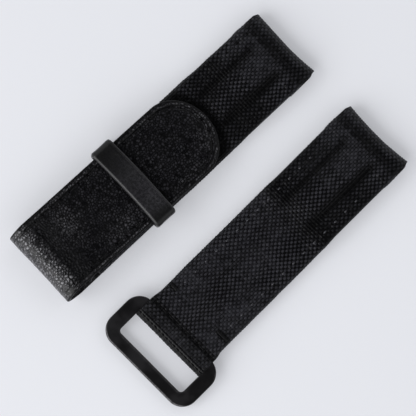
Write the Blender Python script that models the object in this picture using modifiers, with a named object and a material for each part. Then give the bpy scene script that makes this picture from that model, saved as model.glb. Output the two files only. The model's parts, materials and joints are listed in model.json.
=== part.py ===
# Two-piece woven nylon watch strap with a leather tail that folds back on hook-and-loop tape,
# a sliding leather keeper and a rectangular metal ring.
# The long piece lies along X with its lug end at +X. The short piece lies beside it at -Y,
# turned by a small angle. Z is up and both pieces rest on z = 0.
# The origin is on the flat underside of the long piece's padded part.

import math

import bmesh
import bpy
import numpy as np

mm = 0.001

# Widths and layers shared by both pieces
strap_width = 24.0 * mm             # across the woven body, which fits 24 mm lugs
canvas_thickness = 0.8 * mm         # woven nylon
leather_thickness = 1.2 * mm        # lining and tail
hook_thickness = 0.8 * mm           # hook tape with its backing
loop_thickness = 0.9 * mm           # loop tape with its backing
layer_gap = 0.2 * mm                # between layers that are sewn together
core_gap = 0.32 * mm                # between the canvas and the padding under its grooves
running_gap = 0.3 * mm              # between pieces that move past each other
edge_radius = 1.0 * mm              # where the canvas turns down at its sides
lug_height = 4.8 * mm               # padded end, measured from the underside
lug_wrap = 9.0 * mm                 # how far the canvas returns under the lug end
tunnel_diameter = 1.9 * mm          # across the lug end, for a spring bar
tunnel_overrun = 2.0 * mm           # how far the cutter passes the core's sides
core_bevel = 0.25 * mm              # how much narrower the core's top is at each side

# Long piece
rest_to_lug = 18.6 * mm             # from the origin to the lug end
long_length = 95.8 * mm             # from the fold to the lug end
long_thin_height = 2.8 * mm         # lining, core and canvas where the strap is thin
canvas_setback = 12.1 * mm          # from the fold to the woven body's end
drop_margin = 0.8 * mm              # from the peel line to where the base starts to drop
long_pad_rise = 14.0 * mm           # length over which the padding grows
long_pad_lead = 1.0 * mm            # how far the padding starts under the flap's tip

# Tail, folded back over the base
leather_overhang = 0.2 * mm         # how far the tail stands out past the canvas at each side
flap_length = 65.1 * mm             # from the fold to the round tip
flap_round = 9.3 * mm               # length of the rounded end
flap_tip_drop = 0.9 * mm            # how far the tip leans down past the tapes
flap_tip_run = 7.0 * mm             # length over which it leans
fold_skew = 0.6 * mm                # sideways shift of each layer where the tail folds
fold_radius = 4.05 * mm             # of the leather's middle line
fold_blend = 6.0 * mm               # length over which the fold's bulge dies out
peel_setback = 42.4 * mm            # from the fold to the line where the free end peels
tape_setback = 12.7 * mm            # from the fold to the ends of both tapes
loop_length = 43.0 * mm
loop_inset = 1.5 * mm               # from the canvas's edge to the loop tape's edge
hook_inset = 3.2 * mm               # from the leather's edge to the hook tape's edge

# Keeper, a closed band round both layers
keeper_wall = 1.2 * mm
keeper_setback = 36.7 * mm          # from the fold to the band's middle
keeper_width = 7.1 * mm
keeper_side_play = 0.8 * mm         # from the leather's edges to the band
keeper_play = 0.60 * mm             # above the flap, for its sunken stitches
keeper_corner = 1.9 * mm            # outside radius
keeper_edge = 0.3 * mm              # rounding of the band's edges

# Short piece
short_centre_x = -27.6 * mm
short_centre_y = -38.9 * mm
short_turn = math.radians(2.09)
short_length = 96.0 * mm            # from the ring's far side to the lug end
short_thin_height = 3.2 * mm
short_pad_start = 40.0 * mm         # from the lug end to where the padding stops
short_pad_rise = 14.0 * mm
return_setback = 23.7 * mm          # from the ring's far side to the end of the turned canvas
crease_setback = 17.1 * mm          # from the ring's far side to the sewn crease
crease_depth = 0.55 * mm
crease_half = 1.6 * mm
crease_to_bulge = 2.8 * mm
loop_height = 4.2 * mm              # of the canvas wrapped round the ring's bar
loop_end_setback = 10.9 * mm        # from the ring's far side to the wrapped end
core_setback = 18.9 * mm            # from the ring's far side to the padding's thin end

# Ring
ring_length = 16.6 * mm
ring_side_bar = 4.15 * mm
ring_thickness = 2.2 * mm
ring_far_bar = 3.5 * mm
ring_side_play = 0.8 * mm           # from the strap's edges to the ring's sides
ring_strap_bar = 3.5 * mm
ring_outer_corner = 5.1 * mm
ring_inner_corner = 1.1 * mm
ring_chamfer = 0.25 * mm
ring_pin_diameter = 2.1 * mm        # the hidden bar inside the canvas
ring_pin_setback = 14.1 * mm        # from the far side to the hidden bar's axis
ring_pin_overlap = 0.7 * mm         # how far the bar runs into each side

# Thread
thread_diameter = 0.30 * mm
thread_gap = 0.1 * mm               # from the surface to the thread
thread_rise = 0.06 * mm             # how much each stitch stands up between its holes
canvas_stitch = 4.06 * mm           # stitch length on the woven body
flap_stitch = 3.4 * mm              # stitch length on the leather
cross_stitch = 3.0 * mm
long_row_left_inset = 2.6 * mm      # side rows, from the strap's edge to the thread
long_row_right_inset = 3.1 * mm
short_row_left_inset = 2.9 * mm
short_row_right_inset = 3.1 * mm
row_depth = 0.2 * mm                # how far a row pulls the canvas down
row_band = 0.9 * mm                 # half width of that valley
flap_row_inset = 2.2 * mm
long_row_setback = 6.5 * mm         # from the lug end to the last stitch
short_row_setback = 17.5 * mm
tack_offset = 24.2 * mm             # from the ring's far side
tack_length = 3.2 * mm
tack_pitch = 0.5 * mm
tack_edge = 0.5 * mm                # from the strap's edge

# Quilted ridges over the padding
groove_left = 5.7 * mm
groove_right = 4.9 * mm
groove_half = 0.9 * mm
groove_depth = 0.45 * mm
ridge_rise = 0.25 * mm
groove_fade_lug = 4.0 * mm          # from the lug end to where the grooves stop
groove_fade = 3.0 * mm
long_groove_start = 1.0 * mm        # past the flap's tip
short_groove_start = 34.0 * mm      # from the lug end
groove_grow = 6.0 * mm

# Places derived from the sizes above
lug_radius = lug_height / 2
lug_x = rest_to_lug
fold_x = lug_x - long_length
flap_tip_x = fold_x + flap_length
peel_x = fold_x + peel_setback
keeper_x = fold_x + keeper_setback
canvas_end_x = fold_x + canvas_setback
tape_x = fold_x + tape_setback
leather_width = strap_width + 2 * leather_overhang
base_lift = keeper_wall + running_gap
keeper_outer_width = leather_width + 2 * (keeper_wall + keeper_side_play)
loop_z = long_thin_height + layer_gap
hook_z = loop_z + loop_thickness + layer_gap
flap_z = hook_z + hook_thickness + layer_gap
flap_top = flap_z + leather_thickness
fold_centre_x = fold_x + fold_radius + leather_thickness / 2
fold_centre_z = fold_radius + leather_thickness / 2
fold_flat_x = fold_centre_x + fold_blend
long_row_left = strap_width / 2 - long_row_left_inset
long_row_right = strap_width / 2 - long_row_right_inset
short_row_left = strap_width / 2 - short_row_left_inset
short_row_right = strap_width / 2 - short_row_right_inset
short_lug_x = short_length / 2
ring_far_x = -short_length / 2
ring_opening_width = strap_width + 2 * ring_side_play
ring_width = ring_opening_width + 2 * ring_side_bar
ring_pin_x = ring_far_x + ring_pin_setback
ring_pin_z = loop_height / 2
loop_end_x = ring_far_x + loop_end_setback
crease_x = ring_far_x + crease_setback
return_x = ring_far_x + return_setback
core_x = ring_far_x + core_setback

# Stations along the woven tops, and columns across them
long_top_shares = (0, 0.025, 0.05, 0.10, 0.16, 0.20, 0.24, 0.28, 0.32, 0.36,
                   0.40, 0.44, 0.48, 0.52, 0.56, 0.60, 0.64, 0.82, 1)
short_top_shares = (0, 0.03, 0.06, 0.085, 0.16, 0.26, 0.34, 0.38, 0.42, 0.46, 0.50, 0.56, 0.70, 0.85, 1)
arc_steps = 6
fold_steps = 12
tip_steps = 10


def clamp_share(value, start, end):
    return np.clip((value - start) / (end - start), 0.0, 1.0)


def smooth_share(value, start, end):
    # Rises from 0 at start to 1 at end, level at both
    share = clamp_share(value, start, end)
    return share * share * (3 - 2 * share)


def base_height(x):
    # Underside of the long piece: lifted over the keeper, down on the table past the flap
    return base_lift * (1 - smooth_share(x, peel_x + drop_margin, flap_tip_x))


def base_shift(x):
    # The base leans towards -Y as it nears the fold
    return -fold_skew * clamp_share(x, lug_x - lug_wrap, fold_x)


def flap_shift(x):
    # The flap leans the other way and comes back to the middle at its tip
    return fold_skew * (1 - clamp_share(x, fold_x, flap_tip_x))


def flap_middle(x):
    # Height of the middle of the flap's leather
    lean = flap_tip_drop * smooth_share(x, flap_tip_x - flap_tip_run, flap_tip_x)
    return base_height(x) + flap_z + leather_thickness / 2 - lean


def long_top(x):
    grown = smooth_share(x, flap_tip_x - long_pad_lead, flap_tip_x - long_pad_lead + long_pad_rise)
    return base_height(x) + long_thin_height + (lug_height - long_thin_height) * grown


def short_top(x):
    start = short_lug_x - short_pad_start
    grown = smooth_share(x, start, start + short_pad_rise)
    height = short_thin_height + (lug_height - short_thin_height) * grown
    near = clamp_share(np.abs(x - crease_x), 0, crease_half)
    dip = crease_depth * (0.5 + 0.5 * np.cos(np.pi * near))
    low = short_thin_height - crease_depth
    bulge = low + (loop_height - low) * smooth_share(crease_x - x, 0, crease_to_bulge)
    return np.where(x >= crease_x, height - dip, bulge)


def relief(x, y, start, lug, rows):
    # Quilting: a raised middle band between two grooves, and a valley along each stitch row
    clear = 1 - smooth_share(x, lug - groove_fade_lug - groove_fade, lug - groove_fade_lug)
    grown = smooth_share(x, start, start + groove_grow)
    band = smooth_share(y, -groove_right, -groove_right + groove_half)
    band = band * (1 - smooth_share(y, groove_left - groove_half, groove_left))
    grooves = 0
    for line in (groove_left, -groove_right):
        grooves = grooves + (1 - clamp_share(np.abs(y - line), 0, groove_half))
    height = grown * (ridge_rise * band - groove_depth * grooves)
    for line in rows:
        height = height - row_depth * (1 - clamp_share(np.abs(y - line), 0, row_band))
    return height * clear


def woven_columns(rows):
    # Columns from -Y to +Y over the flat of the canvas, with one on every groove and stitch row
    shoulder = strap_width / 2 - edge_radius
    left, right = rows
    half = [groove_left + groove_half, groove_left, groove_left - groove_half, 0,
            groove_half - groove_right, -groove_right, -groove_right - groove_half]
    outer = [shoulder, left + row_band, left, left - row_band]
    inner = [right + row_band, right, right - row_band, -shoulder]
    return np.array(sorted(outer + half + inner))


def make_material(name, colour, roughness, metallic=0.0):
    material = bpy.data.materials.new(name)
    material.use_nodes = True
    shader = material.node_tree.nodes["Principled BSDF"]
    shader.inputs["Base Color"].default_value = (*colour, 1)
    shader.inputs["Roughness"].default_value = roughness
    shader.inputs["Metallic"].default_value = metallic
    return material


def clear_scene():
    for item in list(bpy.data.objects):
        bpy.data.objects.remove(item)


def add_collection(name):
    collection = bpy.data.collections.new(name)
    bpy.context.scene.collection.children.link(collection)
    return collection


def finish_object(item, collection, finish, parent=None):
    collection.objects.link(item)
    item.parent = parent
    item.data.materials.append(make_material(item.name, *finish))
    return item


def grid_mesh(name, points, flip=False):
    # An open sheet through a table of points: rows run along it, columns run across it
    rows, columns, _ = points.shape
    mesh = bpy.data.meshes.new(name)
    form = bmesh.new()
    bmesh.ops.create_grid(form, x_segments=columns - 1, y_segments=rows - 1, size=strap_width)
    form.verts.ensure_lookup_table()
    for vert, place in zip(form.verts, points.reshape(-1, 3)):
        vert.co = place
    if flip:
        bmesh.ops.reverse_faces(form, faces=form.faces)
    form.to_mesh(mesh)
    form.free()
    return mesh


def add_thickness(item, thickness, offset):
    wall = item.modifiers.new("thickness", "SOLIDIFY")
    wall.thickness = thickness
    wall.offset = offset
    wall.use_even_offset = True
    return item


def path_normals(path):
    # For a path in the XZ plane: the direction that points out of the sheet
    along = np.gradient(path, axis=0)
    along /= np.linalg.norm(along, axis=1, keepdims=True)
    return np.stack([along[:, 1], -along[:, 0]], axis=1)


def sheet_points(path, y, height):
    # Lay a section (sideways y, outward height) on each point of an XZ path
    out = path_normals(path)
    points = np.empty(y.shape + (3,))
    points[..., 0] = path[:, None, 0] + out[:, None, 0] * height
    points[..., 1] = y
    points[..., 2] = path[:, None, 1] + out[:, None, 1] * height
    return points


def arc(centre_x, centre_z, radius, start, end, steps):
    # Points on a circle in the XZ plane, angles in degrees from +X towards +Z
    angles = np.radians(np.linspace(start, end, steps + 1))
    return np.stack([centre_x + radius * np.cos(angles), centre_z + radius * np.sin(angles)], axis=1)


def woven_sheet(path, flange, drop, columns, height, shift):
    # The canvas: flat columns, then two shoulders that turn down where flange is 1
    shoulder = strap_width / 2 - edge_radius
    turned_y = shoulder + edge_radius * np.array([math.sin(math.pi / 4), 1, 1])
    flat_y = shoulder + edge_radius * np.array([1, 2, 3]) / 3
    side_y = flat_y + flange[:, None] * (turned_y - flat_y)
    quarter = edge_radius * (1 - math.cos(math.pi / 4))
    turned_z = np.stack([np.full_like(drop, -quarter), np.full_like(drop, -edge_radius), -drop], axis=1)
    side_z = flange[:, None] * turned_z
    middle_y = np.broadcast_to(columns, (len(path), len(columns)))
    y = np.concatenate([-side_y[:, ::-1], middle_y, side_y], axis=1) + shift[:, None]
    z = np.concatenate([side_z[:, ::-1], height, side_z], axis=1)
    return sheet_points(path, y, z)


def make_long_canvas(collection):
    start_x = lug_x - lug_radius
    top_x = start_x + (canvas_end_x - start_x) * np.array(long_top_shares)
    under = np.array([[lug_x - lug_wrap, 0]])
    top = np.stack([top_x, long_top(top_x)], axis=1)[1:]
    path = np.concatenate([under, arc(start_x, lug_radius, lug_radius, -90, 90, arc_steps), top])
    on_top = np.arange(len(path)) > arc_steps + 1
    flange = on_top * (1 - smooth_share(path[:, 0], lug_x - lug_wrap, start_x))
    drop = np.where(on_top, path[:, 1] - base_height(path[:, 0]) - leather_thickness - layer_gap, 0)
    rows = (long_row_left, -long_row_right)
    columns = woven_columns(rows)
    height = relief(path[:, :1], columns[None, :], flap_tip_x + long_groove_start, lug_x, rows)
    height = height * on_top[:, None]
    points = woven_sheet(path, flange, np.maximum(drop, edge_radius), columns, height, base_shift(path[:, 0]))
    item = bpy.data.objects.new("long_canvas", grid_mesh("long_canvas", points))
    finish_object(item, collection, ((0.012, 0.012, 0.014), 0.8))
    return add_thickness(item, canvas_thickness, -1)


def make_short_canvas(collection, parent):
    start_x = short_lug_x - lug_radius
    bulge_x = crease_x - crease_to_bulge
    turn_x = loop_end_x + loop_height / 2
    far_x = crease_x + crease_half
    top_x = start_x + (far_x - start_x) * np.array(short_top_shares)
    near_x = np.concatenate([np.linspace(far_x, crease_x, 5)[1:], np.linspace(crease_x, bulge_x, 7)[1:]])
    top_x = np.concatenate([top_x, near_x])[1:]
    path = np.concatenate([
        np.array([[short_lug_x - lug_wrap, 0]]),
        arc(start_x, lug_radius, lug_radius, -90, 90, arc_steps),
        np.stack([top_x, short_top(top_x)], axis=1),
        arc(turn_x, loop_height / 2, loop_height / 2, 90, 270, arc_steps + 2),
        np.array([[return_x, 0]])])
    count = len(path)
    on_top = (np.arange(count) > arc_steps + 1) & (path[:, 0] > crease_x + crease_half)
    on_top = on_top & (path[:, 1] > loop_height / 2)
    flange = on_top * (1 - smooth_share(path[:, 0], short_lug_x - lug_wrap, start_x))
    flange = flange * smooth_share(path[:, 0], far_x, far_x + crease_half)
    drop = np.where(on_top, path[:, 1] - leather_thickness - layer_gap, 0)
    rows = (short_row_left, -short_row_right)
    columns = woven_columns(rows)
    start = short_lug_x - short_groove_start
    height = relief(path[:, :1], columns[None, :], start, short_lug_x, rows) * flange[:, None]
    drop = np.maximum(drop, edge_radius)
    points = woven_sheet(path, flange, drop, columns, height, np.zeros(count))
    item = bpy.data.objects.new("short_canvas", grid_mesh("short_canvas", points))
    finish_object(item, collection, ((0.014, 0.014, 0.016), 0.8), parent)
    return add_thickness(item, canvas_thickness, -1)


def solid_between(name, upper, lower):
    # A closed body between two sheets with the same rows and columns
    rows, columns, _ = upper.shape
    count = rows * columns
    number = np.arange(count).reshape(rows, columns)
    quads = np.stack([number[:-1, :-1], number[:-1, 1:], number[1:, 1:], number[1:, :-1]], axis=-1)
    quads = quads.reshape(-1, 4)
    border = np.concatenate([number[0, :], number[1:, -1], number[-1, -2::-1], number[-2:0:-1, 0]])
    after = np.roll(border, -1)
    rim = np.stack([after, border, border + count, after + count], axis=1)
    faces = quads.tolist() + (quads[:, ::-1] + count).tolist() + rim.tolist()
    mesh = bpy.data.meshes.new(name)
    mesh.from_pydata(np.concatenate([upper.reshape(-1, 3), lower.reshape(-1, 3)]).tolist(), [], faces)
    form = bmesh.new()
    form.from_mesh(mesh)
    bmesh.ops.recalc_face_normals(form, faces=form.faces)
    form.to_mesh(mesh)
    form.free()
    return mesh


def core_sheets(x, top, bottom, columns, height, shift):
    y = np.broadcast_to(columns, (len(x), len(columns)))
    upper = np.stack([np.broadcast_to(x[:, None], y.shape), y + shift[:, None], top[:, None] + height], axis=-1)
    lower = np.stack([np.broadcast_to(x[:, None], y.shape), y + shift[:, None],
                      np.broadcast_to(bottom[:, None], y.shape)], axis=-1)
    return upper, lower


def core_stations(lug, end, shares):
    # The core's round nose inside the wrapped canvas, then stations towards its thin end
    nose = lug_radius - canvas_thickness - core_gap
    centre_x = lug - lug_radius
    angles = np.radians(np.linspace(10, 90, arc_steps))
    nose_x = centre_x + nose * np.cos(angles)
    nose_z = nose * np.sin(angles)
    body_x = centre_x + (end - centre_x) * np.array(shares)[1:]
    return nose_x, nose_z, body_x


def make_core(name, collection, cutters, lug, end, shares, top_of, base_of, shift_of, start, rows, parent):
    nose_x, nose_z, body_x = core_stations(lug, end, shares)
    x = np.concatenate([nose_x, body_x])
    over = canvas_thickness + core_gap
    top = np.concatenate([lug_radius + nose_z, top_of(body_x) - over])
    under = leather_thickness + (canvas_thickness - leather_thickness) * smooth_share(
        body_x, lug - lug_wrap, lug - lug_wrap + 2 * edge_radius)
    bottom = np.concatenate([lug_radius - nose_z, base_of(body_x) + under + layer_gap])
    side = strap_width / 2 - over - core_bevel
    columns = woven_columns(rows)
    columns = np.clip(columns, -side, side)
    height = relief(x[:, None], columns[None, :], start, lug, rows)
    upper, lower = core_sheets(x, top, bottom, columns, height, shift_of(x))
    item = bpy.data.objects.new(name, solid_between(name, upper, lower))
    finish_object(item, collection, ((0.05, 0.05, 0.05), 0.9), parent)
    cutter = make_tunnel_cutter(name + "_tunnel", cutters, lug - lug_radius, parent)
    cut = item.modifiers.new("tunnel", "BOOLEAN")
    cut.operation = "DIFFERENCE"
    cut.object = cutter
    return item


def make_tunnel_cutter(name, cutters, x, parent):
    mesh = bpy.data.meshes.new(name)
    form = bmesh.new()
    radius = tunnel_diameter / 2
    bmesh.ops.create_cone(form, cap_ends=True, segments=12, radius1=radius, radius2=radius,
                          depth=strap_width + tunnel_overrun)
    form.to_mesh(mesh)
    form.free()
    cutter = bpy.data.objects.new(name, mesh)
    cutters.objects.link(cutter)
    cutter.parent = parent
    cutter.location = (x, 0, lug_radius)
    cutter.rotation_euler = (math.pi / 2, 0, 0)
    cutter.hide_render = True
    cutter.display_type = "WIRE"
    return cutter


def strip_sheet(path, half_width, shift, segments):
    across = np.linspace(-1, 1, segments + 1)
    y = half_width[:, None] * across[None, :] + shift[:, None]
    return sheet_points(path, y, np.zeros_like(y))


def make_tail_leather(collection):
    # One strip: lining under the base, the fold, and the flap as far as the peel line
    lining_x = np.linspace(lug_x - lug_wrap - layer_gap, fold_flat_x, 22)
    blend = np.linspace(fold_flat_x, fold_centre_x, 6)[1:-1]
    low_z = base_lift + leather_thickness / 2
    high_z = flap_middle(fold_flat_x)
    bottom = fold_centre_z - fold_radius
    top = fold_centre_z + fold_radius
    away = smooth_share(blend, fold_centre_x, fold_flat_x)
    down = np.stack([blend, bottom + (low_z - bottom) * away], axis=1)
    back = np.stack([blend, top + (high_z - top) * away], axis=1)[::-1]
    flap_x = np.linspace(fold_flat_x, peel_x - running_gap / 2, 4)
    path = np.concatenate([
        np.stack([lining_x, base_height(lining_x) + leather_thickness / 2], axis=1),
        down,
        arc(fold_centre_x, fold_centre_z, fold_radius, 270, 90, fold_steps),
        back,
        np.stack([flap_x, flap_middle(flap_x)], axis=1)])
    count = len(path)
    first = len(lining_x) + len(down)
    last = count - len(flap_x) - len(back)
    turn = clamp_share(np.arange(count), first, last)
    shift = base_shift(path[:, 0]) * (1 - turn) + flap_shift(path[:, 0]) * turn
    grown = clamp_share(path[:, 0], lug_x, fold_x)
    half = (strap_width + (leather_width - strap_width) * np.maximum(grown, turn)) / 2
    item = bpy.data.objects.new("tail_leather", grid_mesh("tail_leather", strip_sheet(path, half, shift, 2)))
    finish_object(item, collection, ((0.016, 0.016, 0.018), 0.55))
    return add_thickness(item, leather_thickness, 0)


def tongue_mesh(name, start_x, tip_x, round_length, half_width, height_of, shift_of, inset_shares):
    # A strip with a round end. Each line runs from the edge to the strip's middle line, so a
    # row of points at one share follows the edge all the way round the tip.
    round_x = tip_x - round_length
    straight = np.linspace(start_x, round_x, 8)
    angles = np.linspace(-np.pi / 2, np.pi / 2, tip_steps + 1)
    edge_x = np.concatenate([straight, round_x + round_length * np.cos(angles[1:-1]), straight[::-1]])
    spine_x = np.concatenate([straight, np.full(tip_steps - 1, round_x), straight[::-1]])
    side = np.ones(len(straight))
    edge_y = half_width * np.concatenate([-side, np.sin(angles[1:-1]), side])
    share = np.array(inset_shares)[None, :]
    x = edge_x[:, None] + (spine_x - edge_x)[:, None] * share
    y = edge_y[:, None] * (1 - share) + shift_of(x)
    points = np.stack([x, y, height_of(x)], axis=-1)
    mesh = grid_mesh(name, points, flip=True)
    form = bmesh.new()
    form.from_mesh(mesh)
    bmesh.ops.remove_doubles(form, verts=form.verts, dist=layer_gap / 100)
    form.to_mesh(mesh)
    form.free()
    return mesh


def make_flap_end(collection):
    shares = (0, 0.18, 0.5, 1)
    start_x = peel_x + running_gap / 2
    mesh = tongue_mesh("flap_end_leather", start_x, flap_tip_x, flap_round, leather_width / 2,
                       flap_middle, flap_shift, shares)
    item = bpy.data.objects.new("flap_end_leather", mesh)
    finish_object(item, collection, ((0.016, 0.016, 0.018), 0.55))
    return add_thickness(item, leather_thickness, 0)


def hook_middle(x):
    return flap_middle(x) - (leather_thickness + hook_thickness) / 2 - layer_gap


def make_flap_end_hook(collection):
    mesh = tongue_mesh("flap_end_hook_tape", peel_x + running_gap / 2, flap_tip_x - hook_inset,
                       flap_round - hook_inset, leather_width / 2 - hook_inset,
                       hook_middle, flap_shift, (0, 0.5, 1))
    item = bpy.data.objects.new("flap_end_hook_tape", mesh)
    finish_object(item, collection, ((0.01, 0.01, 0.01), 0.6))
    return add_thickness(item, hook_thickness, 0)


def make_hook_tape(collection):
    x = np.linspace(peel_x - running_gap / 2, tape_x, 3)
    path = np.stack([x, hook_middle(x)], axis=1)
    half = np.full(len(x), leather_width / 2 - hook_inset)
    mesh = grid_mesh("hook_tape", strip_sheet(path, half, flap_shift(x), 2))
    item = bpy.data.objects.new("hook_tape", mesh)
    finish_object(item, collection, ((0.01, 0.01, 0.01), 0.6))
    return add_thickness(item, hook_thickness, 0)


def make_loop_tape(collection):
    x = np.linspace(tape_x + loop_length, tape_x, 18)
    path = np.stack([x, base_height(x) + loop_z + loop_thickness / 2], axis=1)
    half = np.full(len(x), strap_width / 2 - loop_inset)
    mesh = grid_mesh("loop_tape", strip_sheet(path, half, base_shift(x), 2))
    item = bpy.data.objects.new("loop_tape", mesh)
    finish_object(item, collection, ((0.012, 0.012, 0.012), 0.95))
    return add_thickness(item, loop_thickness, 0)


def make_short_lining(collection, parent):
    x = np.linspace(short_lug_x - lug_wrap - layer_gap, return_x + layer_gap, 3)
    path = np.stack([x, np.full(len(x), leather_thickness / 2)], axis=1)
    half = np.full(len(x), strap_width / 2)
    mesh = grid_mesh("short_lining", strip_sheet(path, half, np.zeros(len(x)), 2))
    item = bpy.data.objects.new("short_lining", mesh)
    finish_object(item, collection, ((0.016, 0.016, 0.018), 0.55), parent)
    return add_thickness(item, leather_thickness, 0)


def rounded_outline(half_x, half_y, radius, steps):
    # Corners of a rounded rectangle, anticlockwise from the +X side
    points = []
    for turn, (side_x, side_y) in enumerate(((1, 1), (-1, 1), (-1, -1), (1, -1))):
        for step in range(steps + 1):
            angle = math.pi / 2 * (turn + step / steps)
            points.append((side_x * (half_x - radius) + radius * math.cos(angle),
                           side_y * (half_y - radius) + radius * math.sin(angle)))
    return points


def make_keeper(collection):
    # A band: the ring of a cylinder moved onto a rounded rectangle, given a wall and soft edges
    height = base_lift + flap_top + keeper_play + keeper_wall
    outline = rounded_outline(keeper_outer_width / 2, height / 2, keeper_corner, 5)
    mesh = bpy.data.meshes.new("keeper_band")
    form = bmesh.new()
    bmesh.ops.create_cone(form, cap_ends=False, segments=len(outline), radius1=keeper_outer_width,
                          radius2=keeper_outer_width, depth=keeper_width)
    ordered = sorted(form.verts, key=lambda vert: (vert.co.z > 0, math.atan2(vert.co.y, vert.co.x) % math.tau))
    for number, vert in enumerate(ordered):
        side = 1 if number >= len(outline) else -1
        y, z = outline[number % len(outline)]
        vert.co = (side * keeper_width / 2, y, z + height / 2)
    bmesh.ops.recalc_face_normals(form, faces=form.faces)
    form.to_mesh(mesh)
    form.free()
    item = bpy.data.objects.new("keeper_band", mesh)
    finish_object(item, collection, ((0.03, 0.03, 0.032), 0.4))
    item.location = (keeper_x, 0, 0)
    add_thickness(item, keeper_wall, -1)
    soft = item.modifiers.new("edges", "BEVEL")
    soft.width = keeper_edge
    soft.segments = 1
    soft.limit_method = "ANGLE"
    soft.angle_limit = math.radians(60)
    return item


def add_outline(curve, points):
    spline = curve.splines.new("POLY")
    spline.points.add(len(points) - 1)
    for point, (x, y) in zip(spline.points, points):
        point.co = (x, y, 0, 1)
    spline.use_cyclic_u = True


def make_ring(collection, cutters, parent):
    # Flat bar ring with a hidden round bar. Local origin on that bar's axis.
    inner_length = ring_length - ring_far_bar - ring_strap_bar
    middle_x = ring_length / 2 - ring_pin_setback
    inner_x = middle_x + (ring_far_bar - ring_strap_bar) / 2
    curve = bpy.data.curves.new("ring_outline", "CURVE")
    curve.dimensions = "2D"
    curve.fill_mode = "BOTH"
    curve.extrude = ring_thickness / 2 - ring_chamfer
    curve.bevel_depth = ring_chamfer
    curve.bevel_resolution = 0
    curve.offset = -ring_chamfer
    outer = rounded_outline(ring_length / 2, ring_width / 2, ring_outer_corner, 6)
    inner = rounded_outline(inner_length / 2, ring_opening_width / 2, ring_inner_corner, 3)
    add_outline(curve, [(x + middle_x, y) for x, y in outer])
    add_outline(curve, [(x + inner_x, y) for x, y in reversed(inner)])
    flat = bpy.data.objects.new("ring_outline", curve)
    collection.objects.link(flat)
    bpy.context.view_layer.update()
    shape = flat.evaluated_get(bpy.context.evaluated_depsgraph_get())
    mesh = bpy.data.meshes.new_from_object(shape)
    mesh.name = "ring"
    bpy.data.objects.remove(flat)
    form = bmesh.new()
    form.from_mesh(mesh)
    bmesh.ops.remove_doubles(form, verts=form.verts, dist=ring_chamfer / 100)
    bmesh.ops.recalc_face_normals(form, faces=form.faces)
    form.to_mesh(mesh)
    form.free()
    mesh.materials.clear()
    ring = bpy.data.objects.new("ring", mesh)
    finish_object(ring, collection, ((0.02, 0.02, 0.022), 0.42, 1.0), parent)
    add_pin(ring, cutters)
    return ring


def add_pin(ring, cutters):
    # The strap side of the flat ring gives way to a round bar
    gap_mesh = bpy.data.meshes.new("ring_gap")
    form = bmesh.new()
    bmesh.ops.create_cube(form, size=1)
    length = ring_strap_bar + ring_length - ring_pin_setback
    size = (length, ring_opening_width, 2 * ring_thickness)
    for vert in form.verts:
        vert.co = (vert.co.x * size[0], vert.co.y * size[1], vert.co.z * size[2])
    form.to_mesh(gap_mesh)
    form.free()
    gap = bpy.data.objects.new("ring_gap", gap_mesh)
    pin_mesh = bpy.data.meshes.new("ring_pin")
    form = bmesh.new()
    radius = ring_pin_diameter / 2
    bmesh.ops.create_cone(form, cap_ends=True, segments=16, radius1=radius, radius2=radius,
                          depth=ring_opening_width + 2 * ring_pin_overlap)
    form.to_mesh(pin_mesh)
    form.free()
    pin = bpy.data.objects.new("ring_pin", pin_mesh)
    pin.rotation_euler = (math.pi / 2, 0, 0)
    for cutter, operation in ((gap, "DIFFERENCE"), (pin, "UNION")):
        cutters.objects.link(cutter)
        cutter.parent = ring.parent
        cutter.hide_render = True
        cutter.display_type = "WIRE"
        joined = ring.modifiers.new(cutter.name, "BOOLEAN")
        joined.operation = operation
        joined.object = cutter


def thread_object(name, places, collection, parent=None):
    curve = bpy.data.curves.new(name, "CURVE")
    curve.dimensions = "3D"
    curve.bevel_depth = thread_diameter / 2
    curve.bevel_resolution = 1
    curve.use_fill_caps = True
    spline = curve.splines.new("POLY")
    spline.points.add(len(places) - 1)
    for point, place in zip(spline.points, places):
        point.co = (*place, 1)
    item = bpy.data.objects.new(name, curve)
    return finish_object(item, collection, ((0.02, 0.02, 0.02), 0.6), parent)


def stitch_lift(count):
    # Heights above the surface: low at each hole, a little higher between two holes
    seat = thread_gap + thread_diameter / 2
    return seat + thread_rise * (np.arange(count) % 2)


def straight_row(start, end, pitch):
    stitches = max(1, round(abs(end - start) / pitch))
    return np.linspace(start, end, 2 * stitches + 1)


def surface_line(x, stations, top_of, bottom_offset):
    # The faceted canvas is straight between its stations, so the thread follows those facets
    order = np.argsort(stations)
    return np.interp(x, stations[order], top_of(stations[order])) + bottom_offset


def make_canvas_rows(collection, parent):
    start_x = lug_x - lug_radius
    stations = start_x + (canvas_end_x - start_x) * np.array(long_top_shares)
    x = straight_row(lug_x - long_row_setback, flap_tip_x + long_groove_start, canvas_stitch)
    for side, place in (("left", long_row_left), ("right", -long_row_right)):
        z = surface_line(x, stations, long_top, -row_depth) + stitch_lift(len(x))
        y = place + base_shift(x)
        thread_object("long_stitch_" + side, np.stack([x, y, z], axis=1), collection)
    start_x = short_lug_x - lug_radius
    far_x = crease_x + crease_half
    stations = start_x + (far_x - start_x) * np.array(short_top_shares)
    x = straight_row(short_lug_x - short_row_setback, ring_far_x + tack_offset, canvas_stitch)
    for side, place in (("left", short_row_left), ("right", -short_row_right)):
        z = surface_line(x, stations, short_top, -row_depth) + stitch_lift(len(x))
        thread_object("short_stitch_" + side, np.stack([x, np.full(len(x), place), z], axis=1),
                      collection, parent)


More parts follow.
